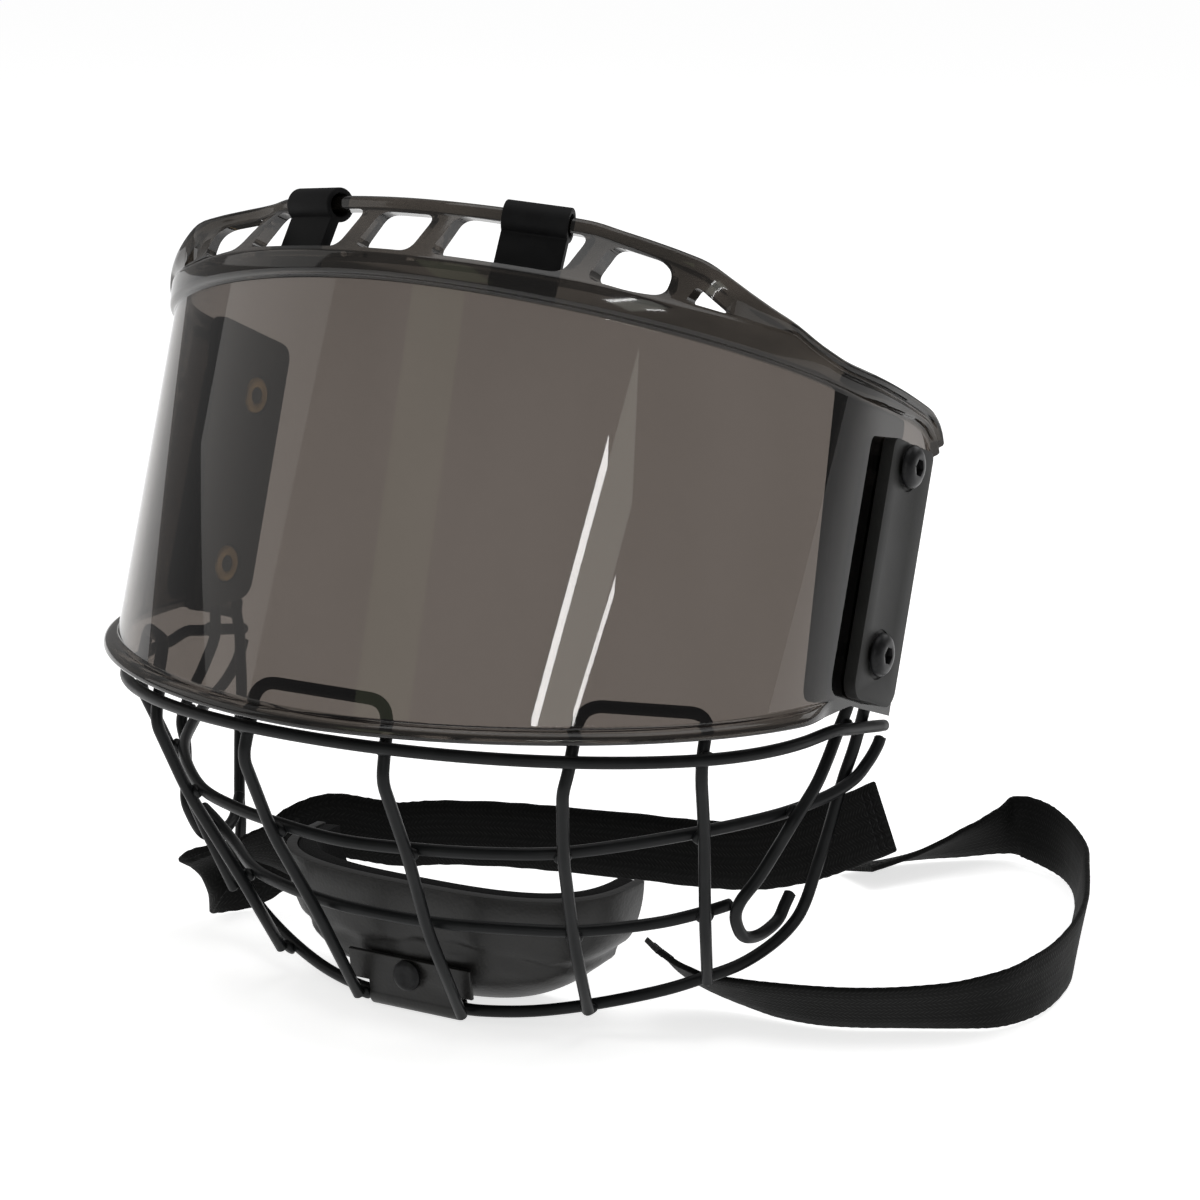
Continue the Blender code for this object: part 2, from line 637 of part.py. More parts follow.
def build_cup_tab(mats, stand):
    """The tab that wraps the bottom rail and snaps to the front of the cup."""
    y0, z0 = -53.9, 3.2
    inner, outer = WIRE_R + 0.5, WIRE_R + 1.6
    arc = [math.radians(-200 + 230 * i / 16) for i in range(17)]
    outside = [(y0 + outer * math.cos(a), z0 + outer * math.sin(a)) for a in reversed(arc)]
    inside = [(y0 + inner * math.cos(a), z0 + inner * math.sin(a)) for a in arc]
    leg = [(y0 - outer - 1.6, 15.6), (y0 - outer - 0.4, 15.8)]
    profile = outside + leg[:1] + leg[1:] + inside
    tab = prism("chin_cup_tab", profile, -19.0, 19.0, mats["leather"], stand)
    for side in (1, -1):
        low, high = sorted((side * 13.4, side * 30.0))
        notch = block("cut_tab_" + side_name(side), (low, -90.0, -9.0), (high, -20.0, 7.4), stand)
        cut(tab, notch)
    stud = [(-57.4, 1.3), (-58.9, 1.3), (-58.9, 4.2), (-59.8, 4.2), (-60.4, 3.0)]
    cut(tab, turned_about_y("cut_tab_snap", [(-50.0, 1.7), (-64.0, 1.7)], (0.0, 0.0, 11.4), None, stand))
    snap = turned_about_y("tab_snap", stud, (0.0, 0.0, 11.4), mats["screw"], stand, sides=24)
    bevel(snap, 0.3, segments=1)
    return smooth(tab)


# ---------------------------------------------------------------- straps (in standing directions)

def ribbon(name, stations, material, parent, steps=4):
    """A strap through stations of x, y, z, lean and width.

    Its upper edge leans to the left of its travel, and a station without a width has the full one.
    """
    stations = [tuple(s) + (STRAP_WIDTH,) * (5 - len(s)) for s in stations]
    spine = catmull_rom(stations, steps)
    verts, faces = [], []
    for i, here in enumerate(spine):
        after = spine[min(i + 1, len(spine) - 1)][:3]
        before = spine[max(i - 1, 0)][:3]
        run = Vector(after - before).normalized()
        side = Vector((0, 0, 1)).cross(run).normalized()
        up = run.cross(side)
        lean = math.radians(here[3])
        tall = math.cos(lean) * up + math.sin(lean) * side
        thin = run.cross(tall)
        for a, b in ((-1, -1), (1, -1), (1, 1), (-1, 1)):
            offset = a * float(here[4]) / 2 * tall + b * STRAP_THICKNESS / 2 * thin
            verts.append(tuple(Vector(here[:3]) + offset))
    for i in range(len(spine) - 1):
        for j in range(4):
            k = (j + 1) % 4
            faces.append((4 * i + j, 4 * i + k, 4 * i + 4 + k, 4 * i + 4 + j))
    faces.append((0, 1, 2, 3))
    last = 4 * (len(spine) - 1)
    faces.append((last + 3, last + 2, last + 1, last))
    return add_mesh(name, verts, faces, material, parent)


LEFT_STRAP = [
    (55.3, -27.0, 20.0, -78), (60.2, -24.0, 15.5, -74), (66.8, -20.5, 10.5, -62),
    (75.0, -18.5, 8.4, -52), (85.0, -18.0, 7.7, -45), (97.0, -16.5, 7.8, -41),
    (108.0, -12.5, 7.9, -40), (119.0, -6.0, 8.0, -38), (130.0, 1.0, 8.5, -32),
    (138.5, 8.5, 9.4, -20), (142.5, 19.0, 9.9, -10), (143.4, 32.0, 9.9, -6),
    (141.0, 50.0, 9.9, -6), (136.0, 67.0, 9.9, -10), (130.0, 82.0, 9.9, -12),
    (124.0, 97.0, 9.9, -10), (118.0, 112.0, 9.9, -6), (110.0, 126.0, 9.9, 0),
    (101.5, 136.5, 9.9, 0),
    (92.2, 142.5, 10.8, -5), (84.5, 144.0, 11.3, 2.5), (79.9, 140.5, 10.0, 25.5),
    (75.2, 136.3, 8.5, 37.5), (71.2, 132.0, 7.5, 45), (66.3, 126.5, 6.3, 55.5),
    (60.8, 119.5, 5.1, 64.5), (56.9, 113.5, 4.5, 69), (53.2, 107.0, 4.1, 73),
    (50.6, 102.5, 3.9, 75.5),
]
RIGHT_STRAP = [
    (-54.5, -27.0, 28.0, 12), (-63.0, -27.4, 26.6, 28), (-71.0, -27.6, 25.6, 46, 16.5),
    (-77.6, -28.8, 24.8, 58, 13.4), (-83.6, -30.0, 21.6, 66, 13.8), (-89.0, -29.2, 16.2, 42, 16.5),
    (-92.2, -21.5, 12.0, 12), (-91.5, -14.5, 9.9, 0),
    (-87.5, -9.0, 10.4, 0), (-83.0, -3.5, 14.5, 0), (-79.0, 3.0, 20.0, 0),
    (-72.5, 10.0, 22.6, 0), (-64.0, 15.0, 21.4, 0), (-55.0, 18.5, 20.4, 0),
    (-41.0, 20.5, 22.6, 0), (-20.0, 21.0, 25.2, 0), (0.0, 21.0, 26.9, 0), (24.0, 21.0, 28.6, 0),
    (45.0, 19.5, 30.4, 0), (62.0, 16.5, 33.6, 0), (78.0, 12.0, 39.5, 0), (91.0, 8.0, 46.0, 0),
    (108.0, 1.5, 55.6, 0),
]


def build_straps(mats, stand):
    ribbon("left_chin_strap", LEFT_STRAP, mats["webbing"], stand)
    ribbon("right_chin_strap", RIGHT_STRAP, mats["webbing"], stand)


# ---------------------------------------------------------------- assembly

def add_empty(name, parent=None):
    empty = bpy.data.objects.new(name, None)
    bpy.context.scene.collection.objects.link(empty)
    empty.parent = parent
    return empty


def stand_on_origin(root):
    """Move the root so that the base's middle is the origin."""
    bpy.context.view_layer.update()
    depsgraph = bpy.context.evaluated_depsgraph_get()
    low = Vector((1e9, 1e9, 1e9))
    high = -low
    for obj in bpy.context.scene.objects:
        if obj.type not in {"MESH", "CURVE"} or obj.hide_render:
            continue
        evaluated = obj.evaluated_get(depsgraph)
        mesh = evaluated.to_mesh()
        for vertex in mesh.vertices:
            point = evaluated.matrix_world @ vertex.co
            low = Vector(map(min, low, point))
            high = Vector(map(max, high, point))
        evaluated.to_mesh_clear()
    root.location = (-(low.x + high.x) / 2, -(low.y + high.y) / 2, -low.z)


def build():
    clear_scene()
    mats = make_materials()
    root = add_empty("root")
    lean = add_empty("lean", root)
    lean.rotation_euler = (-LEAN, 0.0, 0.0)
    lean.location = (0.0, 0.0, STAND_HEIGHT * MM)
    build_visor(mats, lean)
    build_rails(mats, lean)
    build_uprights(mats, lean)
    build_side_wires(mats, lean)
    build_plates(mats, lean)
    build_fasteners(mats, lean)
    for side in (1, -1):
        build_loop(side, mats, lean)
    build_chin_cup(mats, root)
    build_cup_tab(mats, root)
    build_straps(mats, root)
    stand_on_origin(root)


build()
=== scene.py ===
"""A full-face visor and cage protector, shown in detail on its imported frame.

Lengths in the tables are millimetres. The visor, cage, plates and rail loops are drawn in the
mask's own upright directions and leaned back as one; the cup, its tab and the straps are drawn
as they stand.
"""
import math

import bmesh
import bpy
import numpy as np
from mathutils import Matrix, Vector


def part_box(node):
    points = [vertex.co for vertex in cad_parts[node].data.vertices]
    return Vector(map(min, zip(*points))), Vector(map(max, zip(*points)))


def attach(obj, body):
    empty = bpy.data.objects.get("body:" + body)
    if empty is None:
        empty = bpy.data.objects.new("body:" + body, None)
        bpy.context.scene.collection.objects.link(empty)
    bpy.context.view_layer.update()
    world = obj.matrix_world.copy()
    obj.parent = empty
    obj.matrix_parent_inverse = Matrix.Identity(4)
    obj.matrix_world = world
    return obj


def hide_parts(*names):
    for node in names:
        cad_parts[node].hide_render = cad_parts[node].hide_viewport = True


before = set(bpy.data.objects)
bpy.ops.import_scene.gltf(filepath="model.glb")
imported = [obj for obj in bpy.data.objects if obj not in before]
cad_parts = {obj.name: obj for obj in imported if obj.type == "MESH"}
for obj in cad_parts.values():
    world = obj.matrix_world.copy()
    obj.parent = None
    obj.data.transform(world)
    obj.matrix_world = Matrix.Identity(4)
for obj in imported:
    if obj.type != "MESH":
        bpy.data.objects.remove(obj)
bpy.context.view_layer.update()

MM = 0.001
LEAN = math.radians(19.3)
STAND_HEIGHT = 103.2
WIRE_R = 1.6
SNAP_BACK_Y, SNAP_Z = -57.4, 11.4
SIDES = {1: "left", -1: "right"}
FLOOR_GLOW, WORLD_GLOW = 0.70, 0.30


# ---------------------------------------------------------------- the two sets of directions

def stand_matrix():
    """From standing directions, in metres, to the shared frame, read from the cup and its snap."""
    cup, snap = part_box("chin_cup"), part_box("tab_snap")
    x = (cup[0][0] + cup[1][0]) / 2
    y = snap[1][1] - SNAP_BACK_Y * MM
    z = (snap[0][2] + snap[1][2]) / 2 - SNAP_Z * MM
    return Matrix.Translation((x, y, z))


STAND = stand_matrix()
MASK = STAND @ Matrix.Translation((0, 0, STAND_HEIGHT * MM)) @ Matrix.Rotation(-LEAN, 4, "X")


# ---------------------------------------------------------------- node helpers

class Nodes:
    """A material's nodes, with short ways to add and join them."""

    def __init__(self, name, base, roughness, **sockets):
        self.mat = bpy.data.materials.new(name)
        self.mat.use_nodes = True
        self.tree = self.mat.node_tree
        self.shader = self.tree.nodes["Principled BSDF"]
        self.set("Base Color", (*base, 1.0))
        self.set("Roughness", roughness)
        for socket, value in sockets.items():
            self.set(socket.replace("_", " "), value)

    def set(self, socket, value):
        self.shader.inputs[socket].default_value = value

    def add(self, kind, **values):
        node = self.tree.nodes.new("ShaderNode" + kind)
        for key, value in values.items():
            if hasattr(node, key) and key not in node.inputs:
                setattr(node, key, value)
            else:
                node.inputs[key.replace("_", " ")].default_value = value
        return node

    def join(self, out, into):
        self.tree.links.new(out, into)

    def place(self, kind="Object"):
        return self.add("TexCoord").outputs[kind]

    def noise(self, scale, detail=3.0, rough=0.55, stretch=(1, 1, 1)):
        mapping = self.add("Mapping")
        mapping.inputs["Scale"].default_value = stretch
        self.join(self.place(), mapping.inputs["Vector"])
        node = self.add("TexNoise", Scale=scale, Detail=detail, Roughness=rough)
        self.join(mapping.outputs[0], node.inputs["Vector"])
        return node.outputs["Fac"]

    def math(self, operation, a, b=None):
        node = self.add("Math", operation=operation)
        for value, socket in ((a, node.inputs[0]), (b, node.inputs[1])):
            if value is None:
                continue
            if isinstance(value, (int, float)):
                socket.default_value = value
            else:
                self.join(value, socket)
        return node.outputs[0]

    def remap(self, value, low, high):
        node = self.add("MapRange")
        node.inputs["To Min"].default_value = low
        node.inputs["To Max"].default_value = high
        self.join(value, node.inputs["Value"])
        return node.outputs["Result"]

    def colours(self, value, stops):
        """A ramp between two stops of (place, colour)."""
        node = self.add("ValToRGB")
        for element, (at, colour) in zip(node.color_ramp.elements, stops):
            element.position = at
            element.color = (*colour, 1.0)
        self.join(value, node.inputs["Fac"])
        return node.outputs["Color"]

    def base(self, colour):
        self.join(colour, self.shader.inputs["Base Color"])

    def rough(self, value, low, high):
        self.join(self.remap(value, low, high), self.shader.inputs["Roughness"])

    def bump(self, *layers):
        """Layers of (height, strength, distance in metres), one over the next."""
        normal = None
        for height, strength, distance in layers:
            node = self.add("Bump", Strength=strength, Distance=distance)
            self.join(height, node.inputs["Height"])
            if normal:
                self.join(normal, node.inputs["Normal"])
            normal = node.outputs["Normal"]
        self.join(normal, self.shader.inputs["Normal"])


# ---------------------------------------------------------------- materials

def smoked_lens():
    m = Nodes("smoked_lens", (0.098, 0.084, 0.074), 0.02, Transmission_Weight=1.0, IOR=1.38)
    wipe = m.noise(24, 2, 0.5, (1, 1, 0.25))
    m.rough(wipe, 0.008, 0.028)
    m.base(m.colours(wipe, [(0.35, (0.094, 0.080, 0.070)), (0.65, (0.102, 0.087, 0.077))]))
    return m.mat


def smoked_edge():
    """The thicker moulded border of the visor, darker than the lens."""
    m = Nodes("smoked_edge", (0.05, 0.043, 0.036), 0.06, Transmission_Weight=0.9, IOR=1.42)
    flow = m.noise(30, 3, 0.5, (1, 1, 2.5))
    m.base(m.colours(flow, [(0.3, (0.020, 0.017, 0.014)), (0.7, (0.050, 0.042, 0.035))]))
    m.rough(flow, 0.03, 0.09)
    m.bump((m.noise(60, 2, 0.5), 0.06, 0.0004))
    return m.mat


def powder_coat():
    m = Nodes("wire_powder_coat", (0.006, 0.0065, 0.007), 0.4, Specular_IOR_Level=0.16)
    patch = m.noise(130, 3)
    m.base(m.colours(patch, [(0.35, (0.0042, 0.0046, 0.0050)), (0.7, (0.0080, 0.0086, 0.0092))]))
    m.rough(patch, 0.30, 0.46)
    m.bump((m.noise(1500, 2), 0.10, 0.00008), (m.noise(320, 2), 0.08, 0.0002))
    return m.mat


def moulded_plate():
    m = Nodes("moulded_plate", (0.010, 0.010, 0.0096), 0.5, Specular_IOR_Level=0.2)
    cloud = m.noise(90, 4)
    m.base(m.colours(cloud, [(0.3, (0.0080, 0.0080, 0.0076)), (0.7, (0.0135, 0.0135, 0.0128))]))
    m.rough(cloud, 0.42, 0.58)
    m.bump((m.noise(2600, 2), 0.16, 0.00008), (m.noise(70, 2), 0.05, 0.0004))
    return m.mat


def black_oxide():
    m = Nodes("black_oxide_steel", (0.008, 0.008, 0.0085), 0.35, Metallic=0.5,
              Specular_IOR_Level=0.25)
    rub = m.noise(420, 4)
    m.base(m.colours(rub, [(0.4, (0.007, 0.007, 0.0075)), (0.8, (0.020, 0.020, 0.021))]))
    m.rough(rub, 0.26, 0.46)
    m.bump((m.noise(2200, 2), 0.08, 0.00006))
    return m.mat


def turned_brass():
    m = Nodes("turned_brass", (0.48, 0.33, 0.15), 0.32, Metallic=1.0)
    tarnish = m.noise(260, 4)
    m.base(m.colours(tarnish, [(0.3, (0.30, 0.20, 0.09)), (0.7, (0.56, 0.40, 0.19))]))
    m.rough(tarnish, 0.24, 0.46)
    m.bump((m.noise(900, 3, 0.6, (0.2, 1, 1)), 0.12, 0.00008))
    return m.mat


def loop_rubber():
    m = Nodes("loop_rubber", (0.005, 0.005, 0.0055), 0.6, Specular_IOR_Level=0.12)
    bloom = m.noise(160, 4)
    m.base(m.colours(bloom, [(0.3, (0.0036, 0.0036, 0.0040)), (0.75, (0.0085, 0.0085, 0.0090))]))
    m.rough(bloom, 0.50, 0.72)
    m.bump((m.noise(1900, 2), 0.20, 0.00010), (m.noise(240, 2), 0.10, 0.0003))
    return m.mat


def cup_leather():
    m = Nodes("cup_leather", (0.008, 0.0076, 0.0074), 0.42, Specular_IOR_Level=0.36,
              Coat_Weight=0.06, Coat_Roughness=0.3)
    grain = m.add("TexVoronoi", feature="F1", Scale=1050.0)
    m.join(m.place(), grain.inputs["Vector"])
    wear = m.noise(55, 4)
    m.base(m.colours(wear, [(0.35, (0.0055, 0.0053, 0.0050)), (0.75, (0.0125, 0.0118, 0.0110))]))
    m.rough(wear, 0.34, 0.52)
    m.bump((grain.outputs["Distance"], 0.22, 0.00018), (m.noise(170, 3), 0.25, 0.0006))
    return m.mat


def liner_fabric():
    m = Nodes("liner_fabric", (0.005, 0.005, 0.005), 0.9, Specular_IOR_Level=0.1,
              Sheen_Weight=0.05, Sheen_Roughness=0.4)
    fuzz = m.noise(1500, 4, 0.7)
    m.base(m.colours(fuzz, [(0.3, (0.0028, 0.0028, 0.0031)), (0.75, (0.0085, 0.0085, 0.0090))]))
    m.rough(fuzz, 0.8, 0.98)
    m.bump((fuzz, 0.5, 0.0003), (m.noise(120, 3), 0.3, 0.0008))
    return m.mat


RIB_PITCH, YARN_PITCH, HERRINGBONE = 0.0017, 0.0013, 0.0024


def webbing():
    """A flat woven tape: ribs along it and a herringbone of yarns, laid out from its UVs."""
    m = Nodes("woven_webbing", (0.005, 0.005, 0.0052), 0.8, Sheen_Weight=0.02,
              Sheen_Roughness=0.45, Specular_IOR_Level=0.1)
    uv = m.add("SeparateXYZ")
    m.join(m.place("UV"), uv.inputs[0])
    across = m.math("MULTIPLY", uv.outputs[0], 2 * math.pi / RIB_PITCH)
    along = m.math("MULTIPLY", uv.outputs[1], 2 * math.pi / YARN_PITCH)
    zigzag = m.math("PINGPONG", uv.outputs[0], HERRINGBONE)
    turn = m.math("MULTIPLY", zigzag, 2 * math.pi / YARN_PITCH)
    yarn = m.math("SINE", m.math("ADD", along, turn))
    rib = m.math("SINE", across)
    weave = m.math("ADD", m.math("MULTIPLY", yarn, 0.6), m.math("MULTIPLY", rib, 0.4))
    height = m.remap(weave, 0.0, 1.0)
    lint = m.noise(260, 4)
    # The base colour is darker where the weave lies low: painted shade in its grooves, mixed with
    # the lint's own tone.
    m.base(m.colours(m.math("MULTIPLY", m.math("ADD", height, lint), 0.5),
                     [(0.2, (0.0026, 0.0027, 0.0026)), (0.85, (0.0085, 0.0087, 0.0084))]))
    m.rough(lint, 0.62, 0.86)
    m.bump((height, 0.55, 0.00022), (m.noise(900, 3), 0.2, 0.0001))
    return m.mat


def thread():
    m = Nodes("black_thread", (0.010, 0.010, 0.0105), 0.55, Specular_IOR_Level=0.2)
    ply = m.noise(2400, 2, 0.5, (1, 1, 3))
    m.base(m.colours(ply, [(0.3, (0.006, 0.006, 0.0065)), (0.7, (0.015, 0.015, 0.016))]))
    m.rough(ply, 0.45, 0.7)
    m.bump((ply, 0.4, 0.0001))
    return m.mat


def floor_paint():
    m = Nodes("studio_floor", (0.93, 0.93, 0.93), 0.9, Specular_IOR_Level=0.0)
    m.set("Emission Color", (1.0, 1.0, 1.0, 1.0))
    m.set("Emission Strength", FLOOR_GLOW)
    return m.mat


LENS, EDGE, COAT, PLATE = smoked_lens(), smoked_edge(), powder_coat(), moulded_plate()
OXIDE, BRASS, RUBBER, LEATHER = black_oxide(), turned_brass(), loop_rubber(), cup_leather()
LINER, WEBBING, THREAD, FLOOR = liner_fabric(), webbing(), thread(), floor_paint()


# ---------------------------------------------------------------- geometry helpers

def new_object(name, verts, faces, mats, matrix, scale=MM):
    """One object from points in the given directions, with its faces turned outwards."""
    mesh = bpy.data.meshes.new(name)
    mesh.from_pydata([matrix @ (Vector(v) * scale) for v in verts], [], faces)
    for mat in mats if isinstance(mats, list) else [mats]:
        mesh.materials.append(mat)
    obj = bpy.data.objects.new(name, mesh)
    bpy.context.scene.collection.objects.link(obj)
    bm = bmesh.new()
    bm.from_mesh(mesh)
    bmesh.ops.recalc_face_normals(bm, faces=bm.faces)
    if bm.calc_volume(signed=True) < 0:
        bmesh.ops.reverse_faces(bm, faces=bm.faces)
    bm.to_mesh(mesh)
    bm.free()
    return obj


def small_details(name, bm, mat, matrix):
    """One smooth object from a filled bmesh of small parts, which is freed."""
    mesh = bpy.data.meshes.new(name)
    bmesh.ops.transform(bm, matrix=matrix, verts=bm.verts)
    bm.to_mesh(mesh)
    bm.free()
    mesh.materials.append(mat)
    mesh.shade_smooth()
    obj = bpy.data.objects.new(name, mesh)
    bpy.context.scene.collection.objects.link(obj)
    return obj


def smooth(obj, degrees):
    obj.data.shade_smooth()
    obj.data.set_sharp_from_angle(angle=math.radians(degrees))
    return obj


def bevel(obj, width, segments=3, angle=35.0):
    mod = obj.modifiers.new("rounding", "BEVEL")
    mod.width = width * MM
    mod.segments = segments
    mod.limit_method = "ANGLE"
    mod.angle_limit = math.radians(angle)


def apply_modifiers(obj):
    """The object's shown mesh becomes its own."""
    bpy.context.view_layer.update()
    shown = obj.evaluated_get(bpy.context.evaluated_depsgraph_get())
    mesh = bpy.data.meshes.new_from_object(shown)
    obj.modifiers.clear()
    obj.data = mesh
    return obj


def cut_all(obj, cutters):
    for cutter in cutters:
        mod = obj.modifiers.new("cut", "BOOLEAN")
        mod.operation = "DIFFERENCE"
        mod.solver = "EXACT"
        mod.object = cutter
    apply_modifiers(obj)
    for cutter in cutters:
        bpy.data.objects.remove(cutter, do_unlink=True)


def catmull_rom(points, steps):
    """Points on a smooth curve through the given ones."""
    pts = [np.array(p, float) for p in points]
    pts = [2 * pts[0] - pts[1]] + pts + [2 * pts[-1] - pts[-2]]
    out = []
    for a, b, c, d in zip(pts[:-3], pts[1:-2], pts[2:-1], pts[3:]):
        for i in range(steps):
            t = i / steps
            out.append(0.5 * (2 * b + (c - a) * t + (2 * a - 5 * b + 4 * c - d) * t ** 2
                              + (3 * b - a - 3 * c + d) * t ** 3))
    out.append(pts[-2])
    return out


def round_corners(points, radius, steps=6):
    """An open path with each inner corner replaced by a quadratic bend."""
    pts = [np.array(p, float) for p in points]
    out = [pts[0]]
    for before, here, after in zip(pts[:-2], pts[1:-1], pts[2:]):
        u, v = before - here, after - here
        reach = min(radius, 0.48 * np.linalg.norm(u), 0.48 * np.linalg.norm(v))
        start = here + reach * u / np.linalg.norm(u)
        end = here + reach * v / np.linalg.norm(v)
        for i in range(steps + 1):
            t = i / steps
            out.append((1 - t) ** 2 * start + 2 * t * (1 - t) * here + t ** 2 * end)
    out.append(pts[-1])
    return out


def round_outline(corners, radius, steps=6):
    """A closed outline with rounded corners."""
    closed = [corners[-1]] + list(corners) + [corners[0]]
    return round_corners(closed, radius, steps)[1:-1]


def mirrored(points):
    """A half outline from the middle to the left side, made whole."""
    right = [(-p[0], p[1], p[2]) for p in reversed(points)]
    keep = points[1:] if abs(points[0][0]) < 1e-6 else points
    return right + [tuple(p) for p in keep]


def flip(points, side):
    return [(side * p[0], p[1], p[2]) for p in points]


def monotone(xs, ys):
    """A smooth function through a table that never overshoots it."""
    xs, ys = np.array(xs, float), np.array(ys, float)
    h, d = np.diff(xs), np.diff(ys) / np.diff(xs)
    slope = np.zeros(len(xs))
    for i in range(1, len(xs) - 1):
        if d[i - 1] * d[i] > 0:
            slope[i] = 2 * d[i - 1] * d[i] / (d[i - 1] + d[i])
    slope[0], slope[-1] = d[0], d[-1]

    def at(x):
        x = min(max(float(x), xs[0]), xs[-1])
        i = min(int(np.searchsorted(xs, x, side="right")) - 1, len(h) - 1)
        t = (x - xs[i]) / h[i]
        return float((2 * t ** 3 - 3 * t ** 2 + 1) * ys[i]
                     + (t ** 3 - 2 * t ** 2 + t) * h[i] * slope[i]
                     + (3 * t ** 2 - 2 * t ** 3) * ys[i + 1]
                     + (t ** 3 - t ** 2) * h[i] * slope[i + 1])
    return at


def prism(name, outline, low, high, mats, matrix, axis=0):
    """A closed outline in the other two directions, drawn out along an axis."""
    def point(at, a, b):
        return [(at, a, b), (a, at, b), (a, b, at)][axis]
    count = len(outline)
    verts = [point(low, *p) for p in outline] + [point(high, *p) for p in outline]
    faces = [(i, (i + 1) % count, count + (i + 1) % count, count + i) for i in range(count)]
    faces += [tuple(range(count - 1, -1, -1)), tuple(range(count, 2 * count))]
    return new_object(name, verts, faces, mats, matrix)


def turned(name, profile, centre, mats, matrix, axis=0, sides=48, closed=False):
    """A round piece about an axis: profile pairs are (place along it, radius)."""
    others = [i for i in range(3) if i != axis]
    verts, faces = [], []
    for along, r in profile:
        for i in range(sides):
            a = 2 * math.pi * i / sides
            p = list(centre)
            p[axis] += along
            p[others[0]] += r * math.cos(a)
            p[others[1]] += r * math.sin(a)
            verts.append(tuple(p))
    rings = len(profile)
    for j in range(rings if closed else rings - 1):
        m = (j + 1) % rings
        for i in range(sides):
            k = (i + 1) % sides
            faces.append((j * sides + i, j * sides + k, m * sides + k, m * sides + i))
    if not closed:
        faces.append(tuple(range(sides)))
        faces.append(tuple(range(rings * sides - 1, (rings - 1) * sides - 1, -1)))
    return new_object(name, verts, faces, mats, matrix)


# ---------------------------------------------------------------- visor

HALF_WIDTH, DEPTH, CENTRE_Y, POWER = 105.4, 74.0, -21.5, 1.8
FRONT_Y, REAR_Y, THICKNESS = -95.5, 15.5, 2.4
# Heights and insets by distance behind the visor's front.
RAIL_TABLE = (
    [0, 11, 16, 20, 24, 27.5, 31.5, 35.5, 39.5, 43.5, 51.5, 59.5, 70, 85, 95, 101, 105.7, 109,
     111.5],
    [88, 87.6, 86, 84.3, 82.4, 80.6, 77.6, 74.8, 72.5, 70.6, 66.4, 64, 63.1, 62.3, 61.5, 60.8,
     59.2, 57, 54])
INSET_TABLE = ([0, 14, 16, 20, 24, 27.5, 32, 36], [11.8, 11.8, 11, 7.6, 3.6, 0.8, -0.2, -0.6])
BAND_AT = monotone([0, 12.4, 26.8, 65.5, 100.5, 111.5], [72, 71, 69, 66, 62.4, 60])
RAIL_AT, INSET_AT = monotone(*RAIL_TABLE), monotone(*INSET_TABLE)


def flange_at(behind):
    """Height of the lens's lower edge."""
    return min(-43.5 + 0.335 * behind, -14.5)


def ledge_at(behind):
    """Height of the lens's upper edge, under the band."""
    return min(65.2 - 0.134 * min(behind, 66.0), RAIL_AT(behind) - 5.2)


def superellipse(angle, half_width=HALF_WIDTH, depth=DEPTH, centre_y=CENTRE_Y, power=POWER):
    """Plan point at an angle from straight ahead, and its outward direction."""
    s, c = math.sin(angle), max(math.cos(angle), 0.0)
    x = math.copysign(half_width * abs(s) ** (2 / power), s)
    y = centre_y - depth * c ** (2 / power)
    nx = math.copysign(abs(x / half_width) ** (power - 1) / half_width, x)
    ny = -(abs((y - centre_y) / depth) ** (power - 1)) / depth
    length = math.hypot(nx, ny)
    return (x, y), (nx / length, ny / length)


def visor_stations(count=190, passes=12):
    """Evenly spaced plan points round the visor, eased so that the curve has no creases."""
    dense = [(-HALF_WIDTH, REAR_Y - (REAR_Y - CENTRE_Y) * i / 80) for i in range(80)]
    dense += [superellipse(math.radians(-90 + 180 * i / 900))[0] for i in range(901)]
    dense += [(HALF_WIDTH, CENTRE_Y + (REAR_Y - CENTRE_Y) * i / 80) for i in range(1, 81)]
    dense = np.array(dense)
    run = np.concatenate([[0], np.cumsum(np.linalg.norm(np.diff(dense, axis=0), axis=1))])
    at = np.linspace(0, run[-1], count)
    pts = np.stack([np.interp(at, run, dense[:, i]) for i in (0, 1)], axis=1)
    for _ in range(passes):
        pts[1:-1] = 0.5 * pts[1:-1] + 0.25 * (pts[:-2] + pts[2:])
    t = np.gradient(pts, axis=0)
    t /= np.linalg.norm(t, axis=1)[:, None]
    return [((x, y), (ty, -tx)) for (x, y), (tx, ty) in zip(pts, t)]


def visor_section(y):
    """The visor's cross-section: pairs of outward offset and height, with rounded corners."""
    b = y - FRONT_Y
    flange, ledge, rail = flange_at(b), ledge_at(b), RAIL_AT(b)
    band = min(BAND_AT(b), rail - 2.6)
    lip = float(np.interp(y, [-34.0, -19.0], [1.0, 0.0]))
    lip = lip * lip * (3 - 2 * lip)
    inset, t = INSET_AT(b), THICKNESS
    tall = min(4.4, 0.6 * (rail - band) + 0.6)
    low = [(0.6 * lip, flange - 4.1), (3.3 * lip, flange - 3.9), (3.3 * lip, flange - 1.9),
           (1.9 * lip, flange - 0.5), (0.0, flange), (0.0, flange + 1.6)]
    high = [(0.0, ledge - 1.6), (0.0, ledge), (1.6, ledge + 0.9), (2.1, band - 1.0), (1.2, band),
            (2.2 - inset, rail - 0.8 * tall), (2.2 - inset, rail - 0.25 * tall),
            (1.1 - inset, rail), (-1.1 - inset, rail), (-2.2 - inset, rail - 0.25 * tall),
            (-2.2 - inset, rail - 0.75 * tall), (min(-1.1 - inset, 0.5 - t), rail - tall),
            (-t - 0.2, band - 2.0), (-t, ledge - 1.0), (-t, ledge - 2.6), (-t, flange + 0.8),
            (-t, flange - 0.8)]
    return round_outline(low + high, 0.8, steps=3)


